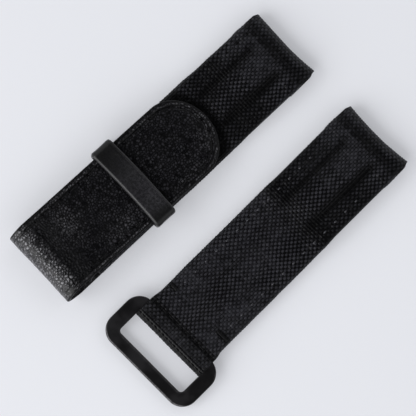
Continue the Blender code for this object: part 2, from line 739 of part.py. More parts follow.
def make_flap_rows(collection):
    inset_y = leather_width / 2 - flap_row_inset
    x = straight_row(fold_flat_x, peel_x - thread_diameter, flap_stitch)
    for side, place in (("left", inset_y), ("right", -inset_y)):
        z = flap_middle(x) + leather_thickness / 2 + stitch_lift(len(x))
        thread_object("flap_stitch_" + side, np.stack([x, place + flap_shift(x), z], axis=1), collection)
    round_x = flap_tip_x - flap_round
    run = straight_row(peel_x + thread_diameter, round_x, flap_stitch)
    angles = np.linspace(-np.pi / 2, np.pi / 2, 17)
    reach = flap_round - flap_row_inset
    x = np.concatenate([run, round_x + reach * np.cos(angles[1:-1]), run[::-1]])
    side = np.ones(len(run))
    y = inset_y * np.concatenate([-side, np.sin(angles[1:-1]), side]) + flap_shift(x)
    z = flap_middle(x) + leather_thickness / 2 + stitch_lift(len(x)) + thread_rise
    thread_object("flap_end_stitch", np.stack([x, y, z], axis=1), collection)


def make_tacks(collection, parent):
    surface = short_thin_height
    seat = surface + thread_gap + thread_diameter / 2
    outer = strap_width / 2 - edge_radius - tack_edge
    for side, sign in (("left", 1), ("right", -1)):
        places = []
        for turn in range(4):
            x = ring_far_x + tack_offset - tack_pitch * (turn + 2)
            ends = (outer, outer - tack_length)
            if turn % 2:
                ends = ends[::-1]
            for y in ends:
                places.append((x, sign * y, seat))
        thread_object("bar_tack_" + side, places, collection, parent)


def make_cross_stitch(collection, parent):
    y = straight_row(-short_row_right, short_row_left, cross_stitch)
    z = short_top(np.full(len(y), crease_x)) + stitch_lift(len(y)) + thread_gap
    thread_object("ring_cross_stitch", np.stack([np.full(len(y), crease_x), y, z], axis=1), collection, parent)


def add_frames():
    # Empties that carry the short piece and, on its hidden bar's axis, the ring
    short = bpy.data.objects.new("short_frame", None)
    short.location = (short_centre_x, short_centre_y, 0)
    short.rotation_euler = (0, 0, short_turn)
    axis = bpy.data.objects.new("ring_axis", None)
    axis.parent = short
    axis.location = (ring_pin_x, 0, ring_pin_z)
    tilt = math.asin((ring_pin_z - ring_thickness / 2) / ring_pin_setback)
    axis.rotation_euler = (0, -tilt, 0)
    for empty in (short, axis):
        bpy.context.scene.collection.objects.link(empty)
    return short, axis


def level(x):
    return np.zeros_like(x)


def main():
    clear_scene()
    parts = add_collection("nylon_watch_strap")
    cutters = add_collection("cutters")
    short, ring_axis = add_frames()
    make_long_canvas(parts)
    make_core("long_pad_core", parts, cutters, lug_x, canvas_end_x + layer_gap, long_top_shares, long_top,
              base_height, base_shift, flap_tip_x + long_groove_start, (long_row_left, -long_row_right), None)
    make_tail_leather(parts)
    make_loop_tape(parts)
    make_hook_tape(parts)
    make_flap_end(parts)
    make_flap_end_hook(parts)
    make_keeper(parts)
    make_short_canvas(parts, short)
    make_core("short_pad_core", parts, cutters, short_lug_x, core_x, short_top_shares, short_top, level,
              level, short_lug_x - short_groove_start, (short_row_left, -short_row_right), short)
    make_short_lining(parts, short)
    make_ring(parts, cutters, ring_axis)
    make_canvas_rows(parts, short)
    make_flap_rows(parts)
    make_tacks(parts, short)
    make_cross_stitch(parts, short)


main()
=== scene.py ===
import json
import math

import bpy
import numpy as np
from mathutils import Matrix, Vector


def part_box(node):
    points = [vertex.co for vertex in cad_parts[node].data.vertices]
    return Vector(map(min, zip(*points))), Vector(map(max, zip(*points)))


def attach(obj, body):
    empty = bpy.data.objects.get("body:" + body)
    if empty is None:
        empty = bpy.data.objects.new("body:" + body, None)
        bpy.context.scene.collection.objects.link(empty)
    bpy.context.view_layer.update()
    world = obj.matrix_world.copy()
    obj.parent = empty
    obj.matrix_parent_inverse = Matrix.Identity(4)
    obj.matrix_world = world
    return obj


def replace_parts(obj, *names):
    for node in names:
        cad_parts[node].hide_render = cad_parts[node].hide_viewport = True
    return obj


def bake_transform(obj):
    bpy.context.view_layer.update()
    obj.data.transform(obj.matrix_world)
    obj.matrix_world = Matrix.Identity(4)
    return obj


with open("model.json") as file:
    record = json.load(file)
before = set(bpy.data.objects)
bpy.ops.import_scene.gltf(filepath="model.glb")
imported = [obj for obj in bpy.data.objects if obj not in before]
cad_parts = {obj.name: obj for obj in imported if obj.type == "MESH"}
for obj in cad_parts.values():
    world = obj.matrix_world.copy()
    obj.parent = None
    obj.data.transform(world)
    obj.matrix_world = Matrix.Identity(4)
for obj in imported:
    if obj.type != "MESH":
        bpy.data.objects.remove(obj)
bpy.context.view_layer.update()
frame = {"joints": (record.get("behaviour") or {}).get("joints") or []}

mm = 0.001          # lengths below are in mm and become metres when a mesh is filled

# Places read from the frame, in mm


def boxOf(node):
    low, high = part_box(node)
    return np.array(low) / mm, np.array(high) / mm


jointOf = {joint["name"]: joint for joint in frame["joints"]}
longLow, longHigh = boxOf("long_canvas")
flapHigh = boxOf("flap_end_leather")[1]
keeperLow, keeperHigh = boxOf("keeper_band")
lugX, canvasEndX, flapTipX = longHigh[0], longLow[0], flapHigh[0]
foldX = boxOf("tail_leather")[0][0]
peelX = jointOf["flap_peel"]["pos_m"][0] / mm
tapeX = boxOf("hook_tape")[0][0]

layers = dict(
    canvas=0.8, leather=1.2, hook=0.8, loop=0.9, gap=0.2,   # thicknesses, and the space between two layers
    thin=2.8, shortThin=3.2, lug=4.8,                       # heights of a thin part and of the lug end
    wrap=9.0, lift=1.5,                                     # canvas under the lug end, lift at the keeper
    halfWidth=12.2, shoulder=11.0, edge=1.2)                # half widths, radius that turns down the sides
fold = dict(
    radius=4.05, blend=8.5, skew=0.6,                       # the open loop, and how far it stands askew
    tipDrop=0.5, tipRun=7.0, tipShort=0.35, dropMargin=0.8, # how the tip and the base lean down
    cover=9.3)                                              # length of the round end that the flap covers
lattice = 64                                                # random values before a pattern repeats


# Shapes


def smooth(value, start, end):
    # 0 at start, 1 at end, level at both: 3k^2 - 2k^3 of the share k between them
    share = np.clip((value - start) / (end - start), 0, 1)
    return share * share * (3 - 2 * share)


def bell(distance, width):
    # exp(-(distance / width)^2)
    return np.exp(-(distance / width) ** 2)


def lumps(x, y, size, seed):
    # Smooth noise from -1 to 1: random values on a lattice of that size, eased from one to the next
    values = np.random.default_rng(seed).uniform(-1, 1, (lattice, lattice))
    a, b = x / size, y / size
    i, j = np.floor(a).astype(int), np.floor(b).astype(int)
    u, v = smooth(a - i, 0, 1), smooth(b - j, 0, 1)
    i, j, right, up = i % lattice, j % lattice, (i + 1) % lattice, (j + 1) % lattice
    near = values[i, j] * (1 - u) + values[right, j] * u
    far = values[i, up] * (1 - u) + values[right, up] * u
    return near * (1 - v) + far * v


def pebbles(x, y, size, seed, crack=0.55):
    # Cells round scattered points: 0 in the crack between two cells, 1 on top of a cell.
    # The height grows with the distance to the second nearest point less that to the nearest, up to crack.
    spots = np.random.default_rng(seed).uniform(0, 1, (lattice, lattice, 2))
    a, b = x / size, y / size
    i, j = np.floor(a).astype(int), np.floor(b).astype(int)
    nearest = np.full(np.shape(a), 9.0)
    second = nearest.copy()
    for di in (-1, 0, 1):
        for dj in (-1, 0, 1):
            spot = spots[(i + di) % lattice, (j + dj) % lattice]
            away = np.hypot(i + di + spot[..., 0] - a, j + dj + spot[..., 1] - b)
            second = np.minimum(second, np.maximum(nearest, away))
            nearest = np.minimum(nearest, away)
    return smooth(second - nearest, 0, crack)


def roundedEdge(d, radius):
    # How far a quarter round of that radius drops below the flat, at the distance d from the edge
    return np.sqrt(np.maximum(radius ** 2 - np.maximum(radius - d, 0) ** 2, 0)) - radius


def holeDepth(s, t, holes, width):
    # 1 at each needle hole, falling off as a bell: the bell of the distance to the nearest hole
    gap = np.full(np.shape(s), 99.0)
    for hole in holes:
        gap = np.minimum(gap, np.hypot(s - hole[0], t - hole[1]))
    return bell(gap, width)


def curveLine(centreX, centreZ, radius, start, end, step=0.05):
    # Points on a circle in the XZ plane, angles in degrees from +X towards +Z
    count = int(abs(math.radians(end - start)) * radius / step) + 2
    angle = np.radians(np.linspace(start, end, count))
    return np.stack([centreX + radius * np.cos(angle), centreZ + radius * np.sin(angle)], axis=1)


def straightLine(start, end, height, step=0.05):
    # Points in the XZ plane from x = start to x = end, at height(x)
    x = np.linspace(start, end, int(abs(end - start) / step) + 2)
    return np.stack([x, height(x)], axis=1)


def joined(lines):
    # Lines end to end; each starts on the last point of the one before it
    return np.concatenate([lines[0]] + [part[1:] for part in lines[1:]])


def distances(line):
    # How far along the line each of its points lies
    return np.concatenate([[0], np.cumsum(np.hypot(*np.diff(line, axis=0).T))])


def sideways(along):
    # Unit vectors a quarter turn from those along a line
    along = along / np.linalg.norm(along, axis=1, keepdims=True)
    return np.stack([along[:, 1], -along[:, 0]], axis=1)


class Track:
    # A line in the XZ plane that a strip follows, in mm. A point on it is given by s, the distance along
    # the line, t, the distance to the side, and h, the height: line(s) + out(s) * h, with t + lean(s) as Y.
    def __init__(self, lines, outward=1, lean=0):
        self.line = joined(lines)
        self.s = distances(self.line)
        self.out = outward * sideways(np.gradient(self.line, self.s, axis=0))
        self.lean = np.broadcast_to(lean, self.s.shape)

    def x(self, s):
        return np.interp(s, self.s, self.line[:, 0])

    def z(self, s):
        return np.interp(s, self.s, self.line[:, 1])

    def at(self, s, t, h):
        s, t, h = np.broadcast_arrays(s, t, h)
        x = self.x(s) + np.interp(s, self.s, self.out[:, 0]) * h
        z = self.z(s) + np.interp(s, self.s, self.out[:, 1]) * h
        return np.stack([x, t + np.interp(s, self.s, self.lean), z], axis=-1)


# Meshes


def shellFaces(rows, columns, around=False):
    # Quads of a section carried along rows and closed round its columns. The ends are capped, unless the
    # rows close too.
    number = np.arange(rows * columns).reshape(rows, columns)
    after = np.roll(number, -1, axis=1)
    if around:
        number, after = np.concatenate([number, number[:1]]), np.concatenate([after, after[:1]])
    quads = np.stack([number[:-1], number[1:], after[1:], after[:-1]], axis=-1).reshape(-1, 4)
    caps = [] if around else [number[0], number[-1][::-1]]
    return quads, caps


def tubeFaces(count, steps, ring):
    # Quads and end caps of many closed tubes, each a number of steps by a ring of points
    number = np.arange(count * steps * ring).reshape(count, steps, ring)
    after = np.roll(number, -1, axis=2)
    quads = np.stack([number[:, :-1], number[:, 1:], after[:, 1:], after[:, :-1]], axis=-1).reshape(-1, 4)
    return quads, list(number[:, 0]) + list(number[:, -1, ::-1])


def crossBar(x, z, radius, reach, sides):
    # A round bar along Y, from -reach to reach
    turn = np.linspace(0, math.tau, sides, endpoint=False)[None, :]
    ends = np.array([-reach, reach])[:, None]
    points = np.broadcast_arrays(x + radius * np.cos(turn), ends, z + radius * np.sin(turn))
    return np.stack(points, axis=-1), *shellFaces(2, sides)


def closed(upper, lower):
    # Columns along the upper side and back along the lower one
    return np.concatenate([upper, lower[:, ::-1]], axis=1)


def joinForms(*forms):
    # Several (points, quads, caps) as one
    points, quads, caps, base = [], [], [], 0
    for formPoints, formQuads, formCaps in forms:
        flatPoints = formPoints.reshape(-1, 3)
        points.append(flatPoints)
        quads.append(formQuads + base)
        caps += [cap + base for cap in formCaps]
        base += len(flatPoints)
    return np.concatenate(points), np.concatenate(quads), caps


def addPiece(name, points, quads, caps, material, flat=None, marks=None, sharp=None):
    # points in mm. The faces are turned outwards by the sign of the volume that they hold. flat is the uv map
    # of the unrolled piece, in mm or yarns, and marks are values at the points for the material.
    points = np.ascontiguousarray(points.reshape(-1, 3))
    a, b, c, d = (points[quads[:, k]] for k in range(4))
    volume = np.sum(a * (np.cross(b, c) + np.cross(c, d)))
    for cap in caps:
        volume += np.sum(points[cap[0]] * np.cross(points[cap[1:-1]], points[cap[2:]]))
    if volume < 0:
        quads, caps = quads[:, ::-1], [cap[::-1] for cap in caps]
    corners = np.concatenate([quads.ravel(), *caps]).astype(np.int32)
    totals = np.concatenate([np.full(len(quads), 4), [len(cap) for cap in caps]]).astype(np.int32)
    starts = np.concatenate([[0], np.cumsum(totals)[:-1]]).astype(np.int32)
    mesh = bpy.data.meshes.new(name)
    mesh.vertices.add(len(points))
    mesh.vertices.foreach_set("co", (points * mm).ravel())
    mesh.loops.add(len(corners))
    mesh.loops.foreach_set("vertex_index", corners)
    mesh.polygons.add(len(totals))
    mesh.polygons.foreach_set("loop_start", starts)
    mesh.polygons.foreach_set("loop_total", totals)
    mesh.update(calc_edges=True)
    mesh.polygons.foreach_set("use_smooth", np.ones(len(totals), bool))
    if flat is not None:
        layer = mesh.uv_layers.new(name="flat")
        layer.data.foreach_set("uv", flat.reshape(-1, 2)[corners].ravel())
    for mark, values in (marks or {}).items():
        layer = mesh.attributes.new(mark, "FLOAT", "POINT")
        layer.data.foreach_set("value", values.ravel().astype(np.float32))
    if sharp:
        mesh.set_sharp_from_angle(angle=math.radians(sharp))
    mesh.materials.append(material)
    piece = bpy.data.objects.new(name, mesh)
    bpy.context.scene.collection.objects.link(piece)
    return piece


# Materials


class Value:
    # A socket; arithmetic on it adds Math nodes
    def __init__(self, finish, socket):
        self.finish, self.socket = finish, socket

    def math(self, operation, first, second):
        return self.finish.node("ShaderNodeMath", {"operation": operation}, {0: first, 1: second})

    def __add__(self, other):
        return self.math("ADD", self, other)

    def __sub__(self, other):
        return self.math("SUBTRACT", self, other)

    def __rsub__(self, other):
        return self.math("SUBTRACT", other, self)

    def __mul__(self, other):
        return self.math("MULTIPLY", self, other)

    __radd__, __rmul__ = __add__, __mul__


class Finish:
    # A Principled material. Constants go straight on the shader's sockets.
    def __init__(self, name, **constants):
        self.material = bpy.data.materials.new(name)
        self.material.use_nodes = True
        self.tree = self.material.node_tree
        self.shader = self.tree.nodes["Principled BSDF"]
        for socket, value in constants.items():
            self.shader.inputs[socket.replace("_", " ")].default_value = value

    def node(self, kind, settings=None, inputs=None, output=0):
        made = self.tree.nodes.new(kind)
        for key, value in (settings or {}).items():
            setattr(made, key, value)
        for key, value in (inputs or {}).items():
            if isinstance(value, Value):
                self.tree.links.new(value.socket, made.inputs[key])
            else:
                made.inputs[key].default_value = value
        return Value(self, made.outputs[output])

    def mark(self, name):
        # a value that addPiece stored at the points
        return self.node("ShaderNodeAttribute", {"attribute_name": name}, output="Fac")

    def place(self, scale=(1, 1, 1)):
        # Object coordinates in mm
        spot = self.node("ShaderNodeTexCoord", output="Object")
        return self.scaled(spot, [k / mm for k in scale])

    def unrolled(self, scale=(1, 1, 1)):
        return self.scaled(self.node("ShaderNodeUVMap", {"uv_map": "flat"}), scale)

    def scaled(self, vector, scale):
        return self.node("ShaderNodeVectorMath", {"operation": "MULTIPLY"}, {0: vector, 1: scale})

    def noise(self, vector, scale, detail=2.0, rough=0.5):
        inputs = {"Vector": vector, "Scale": scale, "Detail": detail, "Roughness": rough}
        return self.node("ShaderNodeTexNoise", {}, inputs)

    def cells(self, vector, scale):
        settings = {"feature": "DISTANCE_TO_EDGE"}
        return self.node("ShaderNodeTexVoronoi", settings, {"Vector": vector, "Scale": scale})

    def between(self, value, low, high, to=(0, 1)):
        # eased from one end of to at low to the other at high
        inputs = {"Value": value, "From Min": low, "From Max": high, "To Min": to[0], "To Max": to[1]}
        return self.node("ShaderNodeMapRange", {"interpolation_type": "SMOOTHSTEP"}, inputs)

    def mix(self, factor, first, second):
        first, second = [c if isinstance(c, Value) else (*c, 1) for c in (first, second)]
        return self.node("ShaderNodeMix", {"data_type": "RGBA"}, {0: factor, 6: first, 7: second}, output=2)

    def bump(self, height, distance):
        return self.node("ShaderNodeBump", {}, {"Height": height, "Distance": distance * mm, "Strength": 1.0})

    def surface(self):
        return Value(self, self.shader.outputs[0])

    def set(self, **links):
        for socket, value in links.items():
            self.tree.links.new(value.socket, self.shader.inputs[socket.replace("_", " ")])
        return self.material


# hollow: painted shade between the yarns; crown: painted light on the raised floats; the third colour
# lightens fibres on those
nylonLook = dict(hollow=(0.0006, 0.0006, 0.0008), crown=(0.0275, 0.0275, 0.0325), lightened=(0.052, 0.052, 0.059),
                 fibres=16.0, rough=(0.24, 0.34))


def wovenNylon():
    finish = Finish("wovenNylon", Specular_IOR_Level=0.16)
    crown, warp = finish.mark("crown"), finish.mark("warp")
    many = nylonLook["fibres"]
    along = finish.noise(finish.unrolled((0.9, many, 1)), 1.0, 2.0)      # fibres of the yarns along the strap
    across = finish.noise(finish.unrolled((many, 0.9, 1)), 1.0, 2.0)     # and of those across it
    fibre = along * warp + across * (1 - warp)
    cloudy = finish.noise(finish.place(), 0.16, 3.0)
    uneven = finish.noise(finish.place(), 1.1, 2.0)
    # lit, read from the crown mark, is painted light: painted shade in the hollows, painted light on the
    # raised floats
    lit = finish.between(crown, 0.15, 1.0)
    colour = finish.mix(lit, nylonLook["hollow"], nylonLook["crown"])
    lightened = lit * finish.between(fibre + uneven * 0.5, 0.7, 1.05) * 0.5
    colour = finish.mix(lightened, colour, nylonLook["lightened"])
    rough = finish.between(fibre + cloudy * 0.4, 0.4, 0.95, nylonLook["rough"]) + (1 - warp) * 0.02
    return finish.set(Base_Color=colour, Roughness=rough, Normal=finish.bump(fibre, 0.004))


# dark and top: painted shade in the cracks and painted light on the pebble tops; light: the painted highlight
# colour; paint: the edge paint
leatherLook = dict(dark=(0.0006, 0.0006, 0.0008), top=(0.0265, 0.0260, 0.0308), light=(0.245, 0.242, 0.2545),
                   paint=(0.002, 0.002, 0.0025), rough=(0.34, 0.19), paintRough=0.2)


def grainedLeather():
    finish = Finish("grainedLeather", Specular_IOR_Level=0.20)
    spot = finish.unrolled()
    bent = finish.node("ShaderNodeTexNoise", {}, {"Vector": spot, "Scale": 0.8, "Detail": 2.0}, output=1)
    warped = finish.node("ShaderNodeVectorMath", {"operation": "ADD"}, {0: spot, 1: bent})
    edge = finish.mark("rim")
    pebble = finish.mark("grain")
    tiny = finish.between(finish.cells(warped, 4.2), 0.0, 0.25)
    pores = finish.noise(warped, 9.0, 2.0)
    grain = (pebble * 0.75 + tiny * 0.3 + pores * 0.18) * (1 - edge)
    hole = finish.mark("hole")
    cloudy = finish.between(finish.noise(spot, 0.22, 3.0), 0.42, 0.7)
    # painted light on the pebble tops, painted shade in the cracks, painted highlights on the fold and beside
    # the crease, edge paint, painted shade in the needle holes
    colour = finish.mix(finish.between(grain, 0.3, 1.1), leatherLook["dark"], leatherLook["top"])
    colour = finish.mix(finish.mark("lightened") * finish.between(grain, 0.27, 0.95), colour, leatherLook["light"])
    colour = finish.mix(edge, colour, leatherLook["paint"])
    colour = finish.mix(hole, colour, leatherLook["dark"])
    rough = finish.between(grain + cloudy * 0.5, 0.2, 1.5, leatherLook["rough"])
    rough = (rough + edge * leatherLook["paintRough"]) * (1 - hole * 0.5)
    return finish.set(Base_Color=colour, Roughness=rough, Normal=finish.bump(grain, 0.014))


# the sheen colour is painted on one side of the band, and the rim colour is a painted highlight on the
# rounded edges
keeperLook = dict(dark=(0.0006, 0.0006, 0.0008), brightened=(0.0024, 0.0023, 0.0028),
                  paintedSheenColour=(0.0255, 0.0248, 0.0282), rim=(0.016, 0.0155, 0.017), rough=(0.42, 0.30))


def smoothLeather():
    finish = Finish("smoothLeather", Specular_IOR_Level=0.38)
    spot = finish.place()
    edge = finish.mark("rim")
    skin = finish.between(finish.cells(spot, 3.4), 0.0, 0.2)
    pores = finish.noise(spot, 7.0, 3.0)
    brightened = finish.between(finish.noise(finish.place((0.5, 1.0, 1.0)), 0.35, 3.0), 0.4, 0.7)
    grain = (skin * 0.6 + pores * 0.5) * (1 - edge * 0.7)
    glossAndPaintedSheen = finish.mark("glossAndPaintedSheen")
    mottled = finish.between(finish.noise(spot, 1.5, 4.0, 0.65), 0.38, 0.62)
    colour = finish.mix(brightened, keeperLook["dark"], keeperLook["brightened"])
    # painted sheen on one side of the band, and a painted highlight on the rounded edges
    colour = finish.mix(glossAndPaintedSheen * (0.12 + grain * 0.5 + mottled * 0.7), colour, keeperLook["paintedSheenColour"])
    colour = finish.mix(edge, colour, keeperLook["rim"])
    rough = finish.between(grain + brightened * 0.6, 0.2, 1.5, keeperLook["rough"]) - glossAndPaintedSheen * 0.06
    return finish.set(Base_Color=colour, Roughness=rough, Normal=finish.bump(grain, 0.012))


# bare is the colour of the painted highlight along the ring's chamfers
metalLook = dict(dark=(0.0030, 0.0028, 0.0032), pale=(0.0090, 0.0085, 0.0096), bare=(0.13, 0.127, 0.132),
                 rough=(0.36, 0.46))


def matteMetal():
    finish = Finish("matteMetal", Specular_IOR_Level=0.19)
    spot = finish.place()
    blast = finish.noise(spot, 11.0, 2.0)
    cloudy = finish.between(finish.noise(spot, 0.18, 3.0), 0.35, 0.65)
    # painted highlight along the chamfers, by the rim mark
    brightened = finish.mark("rim") * finish.between(finish.noise(spot, 1.6, 3.0), 0.15, 0.65)
    colour = finish.mix(cloudy, metalLook["dark"], metalLook["pale"])
    colour = finish.mix(brightened, colour, metalLook["bare"])
    rough = finish.between(blast + cloudy, 0.6, 1.4, metalLook["rough"])
    return finish.set(Base_Color=colour, Roughness=rough, Normal=finish.bump(blast, 0.002))


# the second pair of colours is a painted highlight, used on the short piece's canvas stitches
threadLook = dict(plain=((0.0010, 0.0010, 0.0013), (0.0035, 0.0035, 0.0042)),
                  brightened=((0.020, 0.020, 0.023), (0.085, 0.085, 0.093)), lay=2.2, rough=(0.38, 0.58))


def sewingThread():
    # Plies laid in a screw: stripes by the sine of lay turns per mm of length and one turn round the thread
    finish = Finish("sewingThread", Specular_IOR_Level=0.16)
    turn = finish.node("ShaderNodeSeparateXYZ", {}, {0: finish.unrolled()})
    around = Value(finish, turn.socket.node.outputs[1])
    screw = (turn * threadLook["lay"] + around) * math.tau
    lay = finish.node("ShaderNodeMath", {"operation": "SINE"}, {0: screw}) * 0.5 + 0.5
    fuzz = finish.noise(finish.place(), 14.0, 2.0)
    ply = lay * 0.7 + fuzz * 0.3
    plain, brightened = finish.mix(ply, *threadLook["plain"]), finish.mix(ply, *threadLook["brightened"])
    # painted highlight where the thread's mark is 1
    colour = finish.mix(finish.mark("brightened"), plain, brightened)
    rough = finish.between(fuzz, 0.3, 0.7, threadLook["rough"])
    return finish.set(Base_Color=colour, Roughness=rough, Normal=finish.bump(lay + fuzz * 0.4, 0.02))


hookLook = dict(noise=(6.0, 2.0, 0.5), stretch=(1, 1, 1), eased=False,
                colours=((0.006, 0.006, 0.007), (0.014, 0.014, 0.015)), rough=(0.32, 0.48), depth=0.008)
pileLook = dict(noise=(3.2, 4.0, 0.65), stretch=(1, 1, 1), eased=True,
                colours=((0.003, 0.003, 0.0035), (0.017, 0.017, 0.018)), rough=(0.95, 0.75), depth=0.10)
feltLook = dict(noise=(2.4, 4.0, 0.7), stretch=(0.5, 0.5, 2.0), eased=True,
                colours=((0.010, 0.010, 0.011), (0.030, 0.030, 0.031)), rough=(0.95, 0.8), depth=0.08)


def fuzzyFinish(name, look, **constants):
    # One noise gives the colour, the roughness and the height
    finish = Finish(name, **constants)
    fuzz = finish.noise(finish.place(look["stretch"]), *look["noise"])
    colour = finish.mix(finish.between(fuzz, 0.3, 0.7) if look["eased"] else fuzz, *look["colours"])
    rough = finish.between(fuzz, 0.3, 0.7, look["rough"])
    return finish.set(Base_Color=colour, Roughness=rough, Normal=finish.bump(fuzz, look["depth"]))


finishes = dict(nylon=wovenNylon(), grained=grainedLeather(), smooth=smoothLeather(), metal=matteMetal(),
                thread=sewingThread(), hook=fuzzyFinish("hookPlastic", hookLook, Specular_IOR_Level=0.5),
                pile=fuzzyFinish("loopPile", pileLook, Specular_IOR_Level=0.2, Sheen_Weight=0.25,
                                 Sheen_Roughness=0.5),
                felt=fuzzyFinish("feltBoard", feltLook, Specular_IOR_Level=0.25))
print("materials made")

# Woven canvas

# dimWeft and netShare set how much darker the weft floats are painted than the warp floats
cloth = dict(weftPitch=0.883, warpPitch=0.731, swing=0.12, body=0.23, sink=0.27, samples=4, innerStep=12,
             wander=0.16, looseRows=2, raised=0.02, dimWeft=0.34, netShare=0.34, yarns=512)


def yarnRound(away):
    # Height of a round yarn at a distance from its middle, both as a share: sqrt(1 - (1.94 away)^2)
    return np.sqrt(np.clip(1 - (1.94 * away) ** 2, 0, 1))


def weave(s, t, bent):
    # Plain weave. The middle of warp yarn j rises and falls as swing * cos(pi (a + j)), that of weft yarn i
    # as the opposite, and each yarn is round across itself: body * sqrt(1 - (1.94 distance)^2). The higher
    # one shows. Where the cloth is bent outwards, bent is 1 and the weft yarns lie straight and stand out as
    # ribs. Below 0 it is the other way round. Gives the height, how light the yarn is painted, and 1 for
    # warp.
    # The painted light is high on the raised floats and low between them, as painted shade; weft floats are
    # painted darker than warp floats, in patches, and the bent ribs are painted darker.
    wander = cloth["wander"]
    a = (s + wander * lumps(s, t, 9.0, 3)) / cloth["weftPitch"]
    b = (t + wander * lumps(s, t, 7.0, 4)) / cloth["warpPitch"]
    i, j = np.round(a), np.round(b)
    yarns, swing = cloth["yarns"], cloth["swing"] * (1 - 0.6 * bent)
    thick = np.random.default_rng(5).uniform(0.80, 1.12, (2, yarns))
    warpThick, weftThick = thick[0][j.astype(int) % yarns], thick[1][i.astype(int) % yarns]
    warp = cloth["body"] * warpThick * yarnRound(b - j) + swing * np.cos(np.pi * (a + j))
    weft = cloth["body"] * weftThick * yarnRound(a - i) - swing * np.cos(np.pi * (b + i))
    warp, weft = warp + cloth["raised"] * (1 - bent), weft + 0.07 * bent
    top = np.maximum(warp, weft)
    # painted light: weft floats painted darker than warp floats, in patches
    dimWeft = cloth["dimWeft"] + cloth["netShare"] * smooth(lumps(s, t, 8.0, 8), -0.3, 0.6)
    dimWeft = dimWeft + (1 - dimWeft) * bent
    lit = np.clip(top / (cloth["swing"] + cloth["body"]), 0, 1) * np.where(warp > weft, 1, dimWeft)
    lit = lit * (0.86 + 0.24 * lumps(s, t, 1.0, 6) + 0.10 * lumps(s, t, 6.0, 7))
    lit = lit * (1 - 0.75 * np.maximum(bent, 0))
    return (top - cloth["sink"]) * (1 + 0.9 * bent), lit, (warp > weft) * 1.0


def quilting(x, y, body):
    # A raised band between two sewn grooves, lower lobes outside them that climb to full height near the lug
    # end, and a valley with needle holes along each stitch row
    lug = body["lug"]
    grown = smooth(x, body["quiltStart"], body["quiltStart"] + 6)
    clear = 1 - smooth(x, lug - 7.0, lug - 4.0)
    climb = 1 - smooth(x, lug - 10.8, lug - 7.2)
    left, right = body["grooves"]
    outside = np.maximum(y - left, right - y)     # distance beyond the nearer groove, negative between them
    lobes = 0.16 * smooth(-outside, 0, 3.5) * clear - 0.30 * smooth(outside, 0, 3.5) * climb
    grooves = body["grooveDepth"] * (bell(y - left, 1.25) * 0.8 + bell(y - right, 1.1))
    height = grown * (lobes - grooves * (1 - smooth(x, lug - 10.0, lug - 4.0)))
    for row in body["rows"]:
        height = height - 0.08 * bell(y - row, 0.65) * clear
    return height


def quiltPaintedShade(x, y, body):
    # Painted shade: in the floors of the two grooves, on the lower lobes away from the lug end, on the
    # slope up to the padding and on the rolled lug end
    lug, (lobesFrom, lobesTo) = body["lug"], body["lobesEnd"]
    left, right = body["grooves"]
    grown = smooth(x, body["quiltStart"] - 3, body["quiltStart"] + 3) * (1 - smooth(x, lug - 11.0, lug - 4.0))
    lobes = body["lobeDark"] * (1 - 0.85 * smooth(x, lug - lobesFrom, lug - lobesTo))
    lobes = lobes * smooth(np.maximum(y - left, right - y), 0.5, 2.5)
    grooves = 0.55 * bell(y - left, 1.7) + 0.80 * bell(y - right, 1.55)
    slope = body["rise"][2] * bell(x - body["rise"][0], body["rise"][1])
    rolled = 0.46 * smooth(x, lug - 7.0, lug - 4.5)
    return np.clip(np.maximum(grown * np.maximum(lobes, grooves), rolled) + slope, 0, 0.95)


